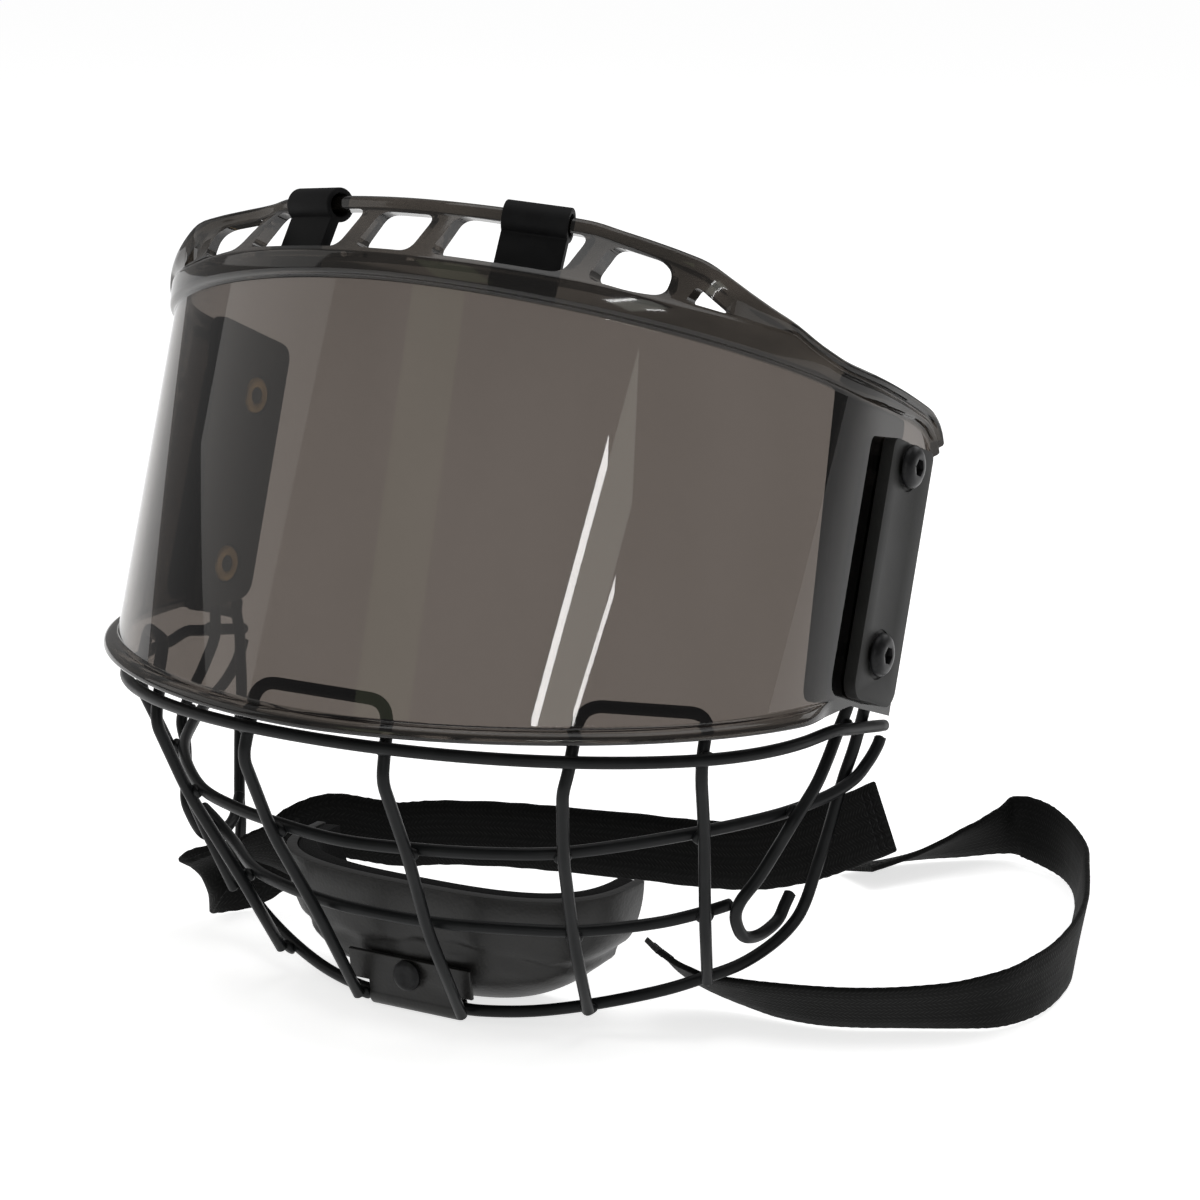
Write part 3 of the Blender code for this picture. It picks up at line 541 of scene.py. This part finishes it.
VENTS = {
    "centre": ([(-8.2, 72.4), (8.2, 72.4), (8.2, 83.6), (-8.2, 83.6)], 3.0),
    "loop": ([(13.6, 72.3), (46.8, 71.7), (46.8, 83.3), (13.6, 84.2)], 3.0),
    "side": ([(52.2, 71.3), (63, 69.8), (69.6, 70.2), (69.4, 76.4), (66, 79.2), (52.2, 82)], 3.0),
    "corner": ([(73.6, 69.9), (82.8, 68.8), (75.6, 74.2)], 1.6),
}
VENT_CUT = (-104, -46)
SCREW_Y, SCREW_ZS = -4.5, {"upper": 44.0, "lower": -4.4}
HOLE_R, HOLE_ENDS = 2.3, (115, 83)


def side_cutter(side, z, mat, radius=HOLE_R, ends=HOLE_ENDS):
    """A round cutter on a screw's axis, between two distances from the middle."""
    return turned("cutter", [(side * x, radius) for x in ends], (0, SCREW_Y, z), mat, MASK)


def build_visor():
    stations = visor_stations()
    verts, faces = [], []
    for (x, y), (nx, ny) in stations:
        verts += [(x + o * nx, y + o * ny, z) for o, z in visor_section(y)]
    count = len(verts) // len(stations)
    for i in range(len(stations) - 1):
        for j in range(count):
            k, a, b = (j + 1) % count, i * count, (i + 1) * count
            faces += [(a + j, a + k, b + k), (a + j, b + k, b + j)]
    faces += [tuple(range(count)), tuple(range(len(verts) - 1, len(verts) - count - 1, -1))]
    visor = new_object("smoked_visor", verts, faces, [LENS, EDGE], MASK)
    cutters = []
    for label, (corners, radius) in VENTS.items():
        for side in ((1,) if label == "centre" else (1, -1)):
            outline = round_outline([(side * x, z) for x, z in corners], radius)
            cutters.append(prism("cutter", outline, *VENT_CUT, LENS, MASK, axis=1))
    cutters += [side_cutter(side, z, LENS) for side in SIDES for z in SCREW_ZS.values()]
    cut_all(visor, cutters)
    from_mask = MASK.inverted()
    for poly in visor.data.polygons:
        c = from_mask @ poly.center / MM
        b = c.y - FRONT_Y
        poly.material_index = 0 if flange_at(b) - 0.4 < c.z < ledge_at(b) else 1
    smooth(visor, 32)
    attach(visor, "frame")
    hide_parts("visor_shell")


build_visor()


# ---------------------------------------------------------------- cage

def upper_rail_half():
    """The rail under the visor: a half superellipse that rises towards the back."""
    points = []
    for i in range(36):
        (x, y), _ = superellipse(math.radians(84.0 * i / 35), 101.0, 83.5, -8.0, 2.1)
        behind = y + 91.5
        points.append((x, y, -49.4 + 0.26 * behind + 1.9 * max((behind - 35) / 45, 0.0) ** 2))
    return points + [(102.4, -9, -25.3), (102.9, -2, -24.2), (102.9, 8, -22.6),
                     (102.9, 19.5, -20.9)]


MIDDLE_HALF = [(0, -67, -73.4), (20.8, -64.6, -72.2), (40, -60, -70), (57.2, -52, -66.4),
               (77, -34.5, -58), (90.5, -13.5, -49.5), (97.2, 1.5, -42.5), (100.2, 11, -36.6),
               (101.4, 15.9, -31.2), (102.2, 18.3, -26.6), (102.5, 18.9, -23.8)]
CHIN_HALF = [(0, -43.2, -90.8), (17.3, -42.4, -90.3), (36, -37.4, -88.4), (51.2, -29.4, -86),
             (66, -18.6, -81), (77, -13.6, -76), (83.8, -12.2, -72.6)]
BOTTOM_HALF = [(0, -17.7, -112.1), (10, -17.7, -112.1), (19, -17.4, -111.8), (33, -14.2, -109.3),
               (48, -9.5, -104.6), (63, -3.8, -98.4), (72, 0.8, -93.4), (79.5, 6, -88.3),
               (85, 11, -82), (88.6, 14.4, -75.6), (90.8, 15, -69.5), (92.6, 14.6, -60),
               (94.4, 14.2, -50), (96.4, 13.4, -37), (98.2, 12.8, -28.6), (99.4, 12, -22),
               (100.5, 10.6, -17), (100.7, 10.2, -13)]
CENTRE_HALF = [(19.6, -86.6, -37.4), (20.6, -86.5, -50.5), (21, -86, -57), (20.8, -68.2, -74.4),
               (17.3, -46.9, -93), (16.2, -21.2, -114.2)]
SIDE_HOOP = [(48.4, -13, -107), (52, -33.4, -88.9), (57.7, -55.7, -68.7), (61.8, -69, -52.5),
             (62.6, -69.3, -47.5), (62.8, -69.3, -30.6), (86.2, -47, -27.2), (86.4, -47, -38),
             (86.4, -45.4, -43.6), (83.4, -33.1, -56.9), (79.3, -17.7, -76.5), (75.2, -1.9, -94.2)]
UPRIGHT = [(100.7, 0.3, 40), (100.7, 0.3, -12), (100.5, 0.4, -18), (99, 0.2, -25.2),
           (98.6, -2.8, -33.5), (98.2, -6.3, -40.4), (96.4, -11.4, -49.7), (93.4, -11.6, -56.7),
           (90.2, -13.1, -65.1), (87.4, -15.2, -71.6), (85.8, -13.4, -75.8), (85.4, -8.6, -79.6),
           (85.6, -3.9, -80.6), (86, 2.4, -79.3), (87, 8.2, -75.4), (87.6, 9.9, -71),
           (88.2, 10.9, -67.4)]
# A wire's rounded end: distance in from its tip, and share of its radius there.
WIRE_CAP = [(0.0, 0.35), (0.25, 0.75), (0.6, 0.95)]
HOOP_BEND = 6.0
BEAD_REACH, BEAD_SPACING, BEAD_SIZE = 4.6, 4.0, (2.3, 2.0, 1.35)


def wire(node, points):
    """A coated wire through the points, with softly rounded ends, in a CAD wire's place."""
    pts = [np.array(p, float) for p in points]
    ring, verts, faces = 18, [], []
    start, end = pts[0] - pts[1], pts[-1] - pts[-2]
    start, end = start / np.linalg.norm(start), end / np.linalg.norm(end)
    path = [(pts[0] - start * a, r) for a, r in WIRE_CAP] + [(p, 1.0) for p in pts[1:-1]]
    path += [(pts[-1] - end * a, r) for a, r in reversed(WIRE_CAP)]
    across = None
    for i, (p, r) in enumerate(path):
        before, after = path[max(i - 1, 0)][0], path[min(i + 1, len(path) - 1)][0]
        run = Vector(after - before).normalized()
        if across is None:
            across = run.orthogonal().normalized()
        across = (across - across.dot(run) * run).normalized()
        other = run.cross(across)
        for j in range(ring):
            a = 2 * math.pi * j / ring
            verts.append(Vector(p) + WIRE_R * r * (math.cos(a) * across + math.sin(a) * other))
    for i in range(len(path) - 1):
        for j in range(ring):
            k = (j + 1) % ring
            faces.append((i * ring + j, i * ring + k, (i + 1) * ring + k, (i + 1) * ring + j))
    faces += [tuple(range(ring)), tuple(range(len(verts) - 1, len(verts) - ring - 1, -1))]
    obj = smooth(new_object("wire_" + node, verts, faces, COAT, MASK), 60)
    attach(obj, "frame")
    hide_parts(node)
    return np.array(pts)


def weld_beads(rails, uprights):
    """A small bead of weld where an upright meets a rail."""
    rng = np.random.default_rng(11)
    found = []
    for rail in rails:
        for up in uprights:
            a = np.concatenate([np.linspace(p, q, 6)[:-1] for p, q in zip(rail[:-1], rail[1:])])
            b = np.concatenate([np.linspace(p, q, 6)[:-1] for p, q in zip(up[:-1], up[1:])])
            gap = np.linalg.norm(a[:, None] - b[None], axis=2)
            near = gap.min(axis=1)
            for i in range(1, len(a) - 1):
                if near[i] < BEAD_REACH and near[i] <= near[i - 1] and near[i] < near[i + 1]:
                    j = int(gap[i].argmin())
                    spot = (a[i] + b[j]) / 2
                    if all(np.linalg.norm(spot - f[0]) > BEAD_SPACING for f in found):
                        j = min(max(j, 1), len(b) - 2)
                        found.append((spot, a[i + 1] - a[i - 1], b[j + 1] - b[j - 1]))
    bm = bmesh.new()
    for spot, along, other in found:
        along = Vector(along).normalized()
        normal = along.cross(Vector(other)).normalized()
        third = normal.cross(along)
        turn = Matrix((along, third, normal)).transposed().to_4x4()
        size = [s * rng.uniform(0.92, 1.1) * MM for s in BEAD_SIZE]
        place = Matrix.Translation(Vector(spot) * MM) @ turn @ Matrix.Diagonal((*size, 1.0))
        made = bmesh.ops.create_icosphere(bm, subdivisions=3, radius=1.0)
        for v in made["verts"]:
            wobble = 1 + 0.07 * math.sin(5 * v.co.x + 3 * spot[0]) * math.cos(4 * v.co.y + spot[2])
            v.co = place @ (v.co * wobble)
    obj = small_details("weld_beads", bm, COAT, MASK)
    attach(obj, "frame")


def build_cage():
    rails = [wire("upper_rail", catmull_rom(mirrored(upper_rail_half()), 3))]
    for node, half in (("middle_rail", MIDDLE_HALF), ("chin_rail", CHIN_HALF),
                       ("bottom_rail", BOTTOM_HALF)):
        rails.append(wire(node, catmull_rom(mirrored(half), 8)))
    hoop = flip(CENTRE_HALF[::-1], -1) + CENTRE_HALF
    uprights = [wire("centre_hoop", round_corners(hoop, HOOP_BEND, 10))]
    for side, label in SIDES.items():
        bent = round_corners(flip(SIDE_HOOP, side), HOOP_BEND, 10)
        uprights.append(wire(label + "_side_hoop", bent))
        uprights.append(wire(label + "_front_upright", catmull_rom(flip(UPRIGHT, side), 8)))
    weld_beads(rails, uprights)


build_cage()


# ---------------------------------------------------------------- side plates and fasteners

OUTER_SHAPE = [(-15.6, 49.8), (9.1, 49.8), (9.1, -14), (6.4, -17), (-13, -16.6), (-15.6, -13.6)]
INNER_SHAPE = [(-28.6, 62.8), (8, 60.3), (9, -12), (-17, -20.5)]
# Name, outline, the two faces' distances from the middle, corner radius, edge rounding, and the
# radius and ends of the seat that a nut or a screw head lies in.
PLATES = (("outer", OUTER_SHAPE, (105.7, 109.0), 2.6, 1.1, 6.4, (108.5, 112)),
          ("inner", INNER_SHAPE, (95.4, 98.6), 5.0, 0.7, 5.6, (97.2, 90)))
# Pairs of distance from the middle and radius, for the left side.
SCREW_PROFILE = [(111.8, 0.9), (111.8, 3.0), (111.6, 4.0), (111.1, 4.9), (110.4, 5.5),
                 (109.5, 5.7), (109.3, 5.6), (109.3, 2.0), (95.7, 2.0)]
NUT_PROFILE = [(96.9, 2.3), (96.9, 5.2), (96.0, 5.2), (95.6, 4.8), (95.5, 4.4), (95.5, 3.0),
               (95.7, 2.4)]
SOCKET_R, SOCKET_ENDS = 2.35, (110.2, 114)


def build_plates():
    for side, label in SIDES.items():
        for name, shape, sides, radius, edge, seat_r, seat_ends in PLATES:
            low, high = sorted(side * x for x in sides)
            piece = prism(f"{name}_side_plate_{label}", round_outline(shape, radius, 8), low, high,
                          PLATE, MASK)
            cutters = []
            for z in SCREW_ZS.values():
                cutters.append(side_cutter(side, z, PLATE))
                cutters.append(side_cutter(side, z, PLATE, seat_r, seat_ends))
            cut_all(piece, cutters)
            bevel(piece, edge, 4)
            smooth(apply_modifiers(piece), 30)
            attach(piece, "frame")
            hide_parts(f"{label}_{name}_plate")


def build_fasteners():
    hexagon = [(math.cos(math.pi * i / 3), math.sin(math.pi * i / 3)) for i in range(6)]
    for side, label in SIDES.items():
        low, high = sorted(side * x for x in SOCKET_ENDS)
        for level, z in SCREW_ZS.items():
            centre = (0, SCREW_Y, z)
            screw = turned(f"screw_{level}_{label}", [(side * x, r) for x, r in SCREW_PROFILE],
                           centre, OXIDE, MASK)
            socket = [(SCREW_Y + SOCKET_R * c, z + SOCKET_R * d) for c, d in hexagon]
            cut_all(screw, [prism("cutter", socket, low, high, OXIDE, MASK)])
            bevel(screw, 0.16, 2)
            smooth(apply_modifiers(screw), 30)
            nut = turned(f"nut_{level}_{label}", [(side * x, r) for x, r in NUT_PROFILE], centre,
                         BRASS, MASK, closed=True)
            smooth(nut, 30)
            for piece, node, finish in ((screw, "screw", "black_screw"), (nut, "nut", "brass_nut")):
                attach(piece, "frame")
                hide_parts(f"{label}_{level}_{node}")


build_plates()
build_fasteners()


# ---------------------------------------------------------------- rail loops

LOOP_X, LOOP_HANG = 36.4, math.radians(13.0)
LOOP_BORE, LOOP_R, TAIL_HALF, TAIL_END, LOOP_HALF_WIDTH = 2.95, 4.45, 1.45, 18.0, 8.5
TAPER_ENDS, TAPER, TAPER_TOP = (8.6, 16), math.radians(9), 8


def loop_matrix(side):
    """The loop's directions: along the rail, across it, and down its tail."""
    s = (LOOP_X / HALF_WIDTH) ** (POWER / 2)
    (x, y), (nx, ny) = superellipse(math.asin(side * s))
    b = y - FRONT_Y
    inset = float(np.interp(b, *INSET_TABLE))
    top = float(np.interp(b, *RAIL_TABLE))
    centre = Vector((x - inset * nx, y - inset * ny, top - 2.2)) * MM
    tangent = Vector((-ny, nx, 0.0)).normalized()
    hang = Vector((0.0, -math.sin(LOOP_HANG), -math.cos(LOOP_HANG)))
    down = (hang - hang.dot(tangent) * tangent).normalized()
    basis = Matrix((tangent, down.cross(tangent), down)).transposed().to_4x4()
    return MASK @ Matrix.Translation(centre) @ basis


def build_loops():
    start = math.asin(TAIL_HALF / LOOP_R)
    arc = [start + (2 * math.pi - 2 * start) * i / 44 for i in range(45)]
    outline = [(LOOP_R * math.sin(a), LOOP_R * math.cos(a)) for a in arc]
    outline += [(-TAIL_HALF, TAIL_END), (TAIL_HALF, TAIL_END)]
    round_bore = [2 * math.pi * i / 40 for i in range(40)]
    bore = [(LOOP_BORE * math.sin(a), LOOP_BORE * math.cos(a)) for a in round_bore]
    beside = [(-6, TAPER_TOP), (-6, 24), (6, 24), (6, TAPER_TOP)]
    for side, label in SIDES.items():
        matrix, w = loop_matrix(side), LOOP_HALF_WIDTH
        strap = prism("rubber_loop_" + label, outline, -w, w, RUBBER, matrix)
        cutters = [prism("cutter", bore, -w - 2, w + 2, RUBBER, matrix)]
        for edge in (1, -1):
            low, high = sorted(edge * x for x in TAPER_ENDS)
            trim = prism("cutter", beside, low, high, RUBBER, matrix)
            lean = Matrix.Rotation(edge * TAPER, 4, "Y")
            about = matrix @ Matrix.Translation((edge * w * MM, 0, TAPER_TOP * MM))
            trim.data.transform(about @ lean @ about.inverted())
            cutters.append(trim)
        cut_all(strap, cutters)
        bevel(strap, 0.65, 4)
        smooth(apply_modifiers(strap), 40)
        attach(strap, label + "_loop")
        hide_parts(label + "_rail_loop")


build_loops()


# ---------------------------------------------------------------- chin cup

CUP_CENTRE, CUP_SIZE = (0.0, -25.0, 38.4), (52.0, 34.0, 37.6)
BOTTOM_RAIL_YZ = (-53.9, 3.2)
TAB_HALF_WIDTH, LEG_HALF_WIDTH, LEG_BOTTOM = 19, 13.4, 7.4
# Pairs of place from front to back and radius.
STUD_PROFILE = [(SNAP_BACK_Y, 1.3), (-58.9, 1.3), (-58.9, 4.1), (-59.3, 4.2), (-59.8, 4.1),
                (-60.2, 3.5), (-60.4, 2.6), (-60.3, 1.4), (-60.1, 0.4)]


def cup_point(azimuth, polar, grow):
    """A point of the rounded bowl: azimuth round it from +X, polar up from its bottom."""
    fx, fy = math.cos(azimuth), math.sin(azimuth)
    square = (abs(fx) ** 3 + abs(fy) ** 3) ** (-1 / 3)
    flat, up = math.sin(polar), -math.cos(polar)
    full = 2.3 + 0.9 * fy ** 2
    k = (abs(flat) ** full + abs(up) ** full) ** (-1 / full)
    size = [s + grow for s in CUP_SIZE]
    return Vector((CUP_CENTRE[0] + size[0] * k * flat * fx * square,
                   CUP_CENTRE[1] + size[1] * k * flat * fy * square,
                   CUP_CENTRE[2] + size[2] * k * up))


def crease_shape(x, z):
    """How far the cup's skin stands out, against its creases: a long one and a lower, half one."""
    below = z - (19.5 - 0.0016 * (x - 10) ** 2 + 1.2 * math.sin(x * 0.11))
    first = math.exp(-(below / 1.7) ** 2)
    second = math.exp(-((below + 9.5) / 1.3) ** 2) * (0.5 - 0.5 * math.tanh(x / 9))
    pucker = 0.25 * math.sin(x * 0.45 + 0.5 * z) * math.exp(-(below / 6) ** 2)
    return pucker - first - 0.6 * second


def bowl(name, grow, thickness, edge, mat, rows=46, cols=96, crease=0.0, reach=1.0):
    """A padded half bowl: an outer skin, an inner one, and a rolled rim between them."""
    verts, faces = [], []
    for layer in (0, 1):
        for i in range(rows + 1):
            polar = math.radians(4 + (87 * reach - 4) * i / rows)
            for j in range(cols + 1):
                azimuth = math.pi + math.pi * j / cols
                p = cup_point(azimuth, polar, grow - layer * thickness)
                if crease and layer == 0:
                    outward = (p - Vector(CUP_CENTRE)).normalized()
                    p += outward * crease * crease_shape(p.x, p.z)
                verts.append(p)
    per, wide = (rows + 1) * (cols + 1), cols + 1
    for layer in (0, 1):
        for i in range(rows):
            for j in range(cols):
                a = layer * per + i * wide + j
                faces.append((a, a + 1, a + wide + 1, a + wide))
    border = [i * wide for i in range(rows)] + [rows * wide + j for j in range(cols)]
    border += [i * wide + cols for i in range(rows, 0, -1)] + list(range(cols, 0, -1))
    for a, b in zip(border, border[1:] + border[:1]):
        faces.append((a, b, b + per, a + per))
    obj = new_object(name, verts, faces, mat, STAND)
    bevel(obj, edge, 4, 50)
    return smooth(apply_modifiers(obj), 60)


def build_cup():
    cup = bowl("padded_chin_cup", 0.0, 2.6, 1.0, LEATHER, crease=1.1)
    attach(cup, "cup")
    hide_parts("chin_cup")
    liner = bowl("cup_lining", -2.9, 4.4, 1.9, LINER, reach=0.99)
    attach(liner, "cup")
    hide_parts("chin_cup_liner")


def build_tab():
    """The tab that wraps the bottom rail and snaps to the front of the cup."""
    y0, z0 = BOTTOM_RAIL_YZ
    inner, outer = WIRE_R + 0.5, WIRE_R + 1.6
    arc = [math.radians(-200 + 230 * i / 40) for i in range(41)]
    outside = [(y0 + outer * math.cos(a), z0 + outer * math.sin(a)) for a in reversed(arc)]
    inside = [(y0 + inner * math.cos(a), z0 + inner * math.sin(a)) for a in arc]
    leg = [(y0 - outer - 1.6, 15.6), (y0 - outer - 0.4, 15.8)]
    tab = prism("leather_tab", outside + leg + inside, -TAB_HALF_WIDTH, TAB_HALF_WIDTH, LEATHER,
                STAND)
    beside = [(-90, -9), (-20, -9), (-20, LEG_BOTTOM), (-90, LEG_BOTTOM)]
    cutters = []
    for side in (1, -1):
        low, high = sorted((side * LEG_HALF_WIDTH, side * 30))
        cutters.append(prism("cutter", beside, low, high, LEATHER, STAND))
    snap_centre = (0, 0, SNAP_Z)
    cutters.append(turned("cutter", [(-50, 1.7), (-64, 1.7)], snap_centre, LEATHER, STAND, axis=1))
    cut_all(tab, cutters)
    bevel(tab, 0.35, 3)
    smooth(apply_modifiers(tab), 40)
    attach(tab, "cup")
    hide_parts("chin_cup_tab")
    snap = smooth(turned("snap_stud", STUD_PROFILE, snap_centre, OXIDE, STAND, axis=1), 30)
    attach(snap, "cup")
    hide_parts("tab_snap")


build_cup()
build_tab()


# ---------------------------------------------------------------- straps

STRAP_WIDTH, STRAP_THICKNESS = 19.0, 1.5
STITCH_ROWS, STITCH_PITCH, STITCH_SIZE = (2.2, 5.0), 2.2, (0.75, 0.26, 0.20)
# The cross-section: shares of half the width and of half the thickness.
STRAP_PROFILE = [
    (-1, 0.45), (-0.955, 1), (-0.5, 1), (0, 1), (0.5, 1), (0.955, 1), (1, 0.45),
    (1, -0.45), (0.955, -1), (0.5, -1), (0, -1), (-0.5, -1), (-0.955, -1), (-1, -0.45)]
# Stations along each strap: x, y, z, lean in degrees, and the width where it is gathered.
LEFT_STRAP = [
    (55.3, -27, 20, -78), (60.2, -24, 15.5, -74), (66.8, -20.5, 10.5, -62), (75, -18.5, 8.4, -52),
    (85, -18, 7.7, -45), (97, -16.5, 7.8, -41), (108, -12.5, 7.9, -40), (119, -6, 8, -38),
    (130, 1, 8.5, -32), (138.5, 8.5, 9.4, -20), (142.5, 19, 9.9, -10), (143.4, 32, 9.9, -6),
    (141, 50, 9.9, -6), (136, 67, 9.9, -10), (130, 82, 9.9, -12), (124, 97, 9.9, -10),
    (118, 112, 9.9, -6), (110, 126, 9.9, 0), (101.5, 136.5, 9.9, 0), (92.2, 142.5, 10.8, -5),
    (84.5, 144, 11.3, 2.5), (79.9, 140.5, 10, 25.5), (75.2, 136.3, 8.5, 37.5),
    (71.2, 132, 7.5, 45), (66.3, 126.5, 6.3, 55.5), (60.8, 119.5, 5.1, 64.5),
    (56.9, 113.5, 4.5, 69), (53.2, 107, 4.1, 73), (50.6, 102.5, 3.9, 75.5)]
RIGHT_STRAP = [
    (-54.5, -27, 28, 12), (-63, -27.4, 26.6, 28), (-71, -27.6, 25.6, 46, 16.5),
    (-77.6, -28.8, 24.8, 58, 13.4), (-83.6, -30, 21.6, 66, 13.8), (-89, -29.2, 16.2, 42, 16.5),
    (-92.2, -21.5, 12, 12), (-91.5, -14.5, 9.9, 0), (-87.5, -9, 10.4, 0), (-83, -3.5, 14.5, 0),
    (-79, 3, 20, 0), (-72.5, 10, 22.6, 0), (-64, 15, 21.4, 0), (-55, 18.5, 20.4, 0),
    (-41, 20.5, 22.6, 0), (-20, 21, 25.2, 0), (0, 21, 26.9, 0), (24, 21, 28.6, 0),
    (45, 19.5, 30.4, 0), (62, 16.5, 33.6, 0), (78, 12, 39.5, 0), (91, 8, 46, 0),
    (108, 1.5, 55.6, 0)]


def strap_frames(stations, steps):
    """Along a strap: place, width direction, thin direction, width and distance run."""
    stations = [tuple(s) + (STRAP_WIDTH,) * (5 - len(s)) for s in stations]
    spine = catmull_rom(stations, steps)
    frames, run_length = [], 0.0
    for i, here in enumerate(spine):
        after, before = spine[min(i + 1, len(spine) - 1)][:3], spine[max(i - 1, 0)][:3]
        run = Vector(after - before).normalized()
        side = Vector((0, 0, 1)).cross(run).normalized()
        lean = math.radians(here[3])
        tall = math.cos(lean) * run.cross(side) + math.sin(lean) * side
        if i:
            run_length += float(np.linalg.norm(here[:3] - spine[i - 1][:3]))
        frames.append((Vector(here[:3]), tall, run.cross(tall), float(here[4]), run_length))
    return frames


def build_strap(label, stations):
    frames = strap_frames(stations, 8)
    half_t = STRAP_THICKNESS / 2
    verts, faces, uvs, count = [], [], [], len(STRAP_PROFILE)
    for place, tall, thin, width, s in frames:
        for a, b in STRAP_PROFILE:
            edge = 0.10 * math.sin(s * 1.9 + a) * (abs(a) > 0.9)
            verts.append(place + (a * width / 2 + edge * a) * tall + b * half_t * thin)
            uvs.append((a * STRAP_WIDTH / 2 * MM, s * MM))
    for i in range(len(frames) - 1):
        for j in range(count):
            k = (j + 1) % count
            faces.append((count * i + j, count * i + k, count * (i + 1) + k, count * (i + 1) + j))
    faces += [tuple(range(count)), tuple(range(len(verts) - 1, len(verts) - count - 1, -1))]
    strap = new_object("webbing_" + label, verts, faces, WEBBING, STAND)
    layer = strap.data.uv_layers.new(name="UVMap")
    for loop in strap.data.loops:
        layer.data[loop.index].uv = uvs[loop.vertex_index]
    smooth(strap, 50)
    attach(strap, "frame")
    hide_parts(label + "_chin_strap")
    stitch_ends(label, frames)


def stitch_ends(label, frames):
    """Two rows of stitches across each end of a strap, on both faces."""
    bm = bmesh.new()
    total = frames[-1][4]
    size = Matrix.Diagonal((*(s * MM for s in STITCH_SIZE), 1.0))
    for target in (*STITCH_ROWS, *(total - row for row in reversed(STITCH_ROWS))):
        i = min(range(len(frames)), key=lambda n: abs(frames[n][4] - target))
        near = frames[i]
        far = frames[min(i + 1, len(frames) - 1)]
        run = (far[0] - frames[max(i - 1, 0)][0]).normalized()
        place = near[0] + run * (target - near[4])
        tall, thin, width = near[1], near[2], near[3]
        steps = int((width - 3) / STITCH_PITCH)
        for n in range(steps):
            a = -width / 2 + 1.6 + (n + 0.5) * (width - 3.2) / steps
            for face in (1, -1):
                spot = place + a * tall + face * (STRAP_THICKNESS / 2 + 0.05) * thin
                turn = Matrix((tall, run, thin)).transposed().to_4x4()
                made = bmesh.ops.create_uvsphere(bm, u_segments=8, v_segments=6, radius=1.0)
                where = Matrix.Translation(spot * MM) @ turn @ size
                bmesh.ops.transform(bm, matrix=where, verts=made["verts"])
    obj = small_details("strap_stitches_" + label, bm, THREAD, STAND)
    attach(obj, "frame")


build_strap("left", LEFT_STRAP)
build_strap("right", RIGHT_STRAP)


# ---------------------------------------------------------------- floor, light and camera

# Name, offset from the mask, size, watts, colour and the direction of its height.
PANELS = (
    ("left_panel", (-1.25, -0.45, 0.55), (0.9, 0.8), 1.6, (1.0, 0.98, 0.95), (0, 0, 1)),
    ("top_panel", (0.1, 0.2, 1.6), (1.6, 1.2), 9.0, (1.0, 1.0, 1.0), (0, 1, 0)),
    ("back_panel", (0.6, 1.4, 0.9), (1.2, 0.7), 4.0, (1.0, 1.0, 1.0), (0, 0, 1)),
    ("olive_panel", (-0.24, -1.24, 0.52), (0.30, 0.55), 0.42, (0.50, 0.58, 0.34),
     (-0.4, 0, 1)),
    ("strip_near", (0.655, -1.14, 0.475), (0.030, 0.24), 0.55, (1.0, 1.0, 1.0),
     (0.11, 0.11, 0.12)),
    ("strip_far", (0.82, -1.06, 0.41), (0.016, 0.14), 0.16, (1.0, 1.0, 1.0),
     (0.07, 0.08, 0.05)),
    ("strip_glow", (0.74, -1.10, 0.44), (0.15, 0.34), 0.28, (0.96, 1.0, 0.90),
     (0.09, 0.10, 0.10)))
FLOOR_HALF, FLOOR_Z = 6, -0.0005
CAMERA_OFFSET, AIM_OFFSET, CAMERA_LENS = (0.4721, -0.7594, 0.2107), (0.0237, 0.0, 0.0), 102.0


def build_studio():
    corners = [(x * FLOOR_HALF, y * FLOOR_HALF, 0) for x, y in ((-1, -1), (1, -1), (1, 1), (-1, 1))]
    floor = new_object("studio_floor", corners, [(0, 1, 2, 3)], FLOOR,
                       Matrix.Translation((0, 0, FLOOR_Z)), scale=1.0)
    if floor.data.polygons[0].normal.z < 0:
        floor.data.flip_normals()
    scene = bpy.context.scene
    scene.view_settings.view_transform = "Standard"
    scene.view_settings.look = "None"
    world = bpy.data.worlds.new("studio")
    world.use_nodes = True
    sky = world.node_tree.nodes["Background"]
    sky.inputs["Color"].default_value = (1.0, 1.0, 1.0, 1.0)
    sky.inputs["Strength"].default_value = WORLD_GLOW
    scene.world = world
    target = MASK.translation
    for name, offset, size, power, colour, up in PANELS:
        light = bpy.data.lights.new(name, "AREA")
        light.shape = "RECTANGLE"
        light.size, light.size_y = size
        light.energy = power
        light.color = colour
        lamp = bpy.data.objects.new(name, light)
        scene.collection.objects.link(lamp)
        back = Vector(offset).normalized()
        tall = Vector(up)
        tall = (tall - tall.dot(back) * back).normalized()
        turn = Matrix((tall.cross(back), tall, back)).transposed().to_4x4()
        lamp.matrix_world = Matrix.Translation(target + Vector(offset)) @ turn
    camera = bpy.data.cameras.new("camera")
    camera.lens = CAMERA_LENS
    camera.clip_start = 0.05
    eye = bpy.data.objects.new("camera", camera)
    scene.collection.objects.link(eye)
    eye.location = target + Vector(CAMERA_OFFSET)
    aim = target + Vector(AIM_OFFSET)
    eye.rotation_euler = (aim - eye.location).to_track_quat("-Z", "Y").to_euler()
    scene.camera = eye


build_studio()
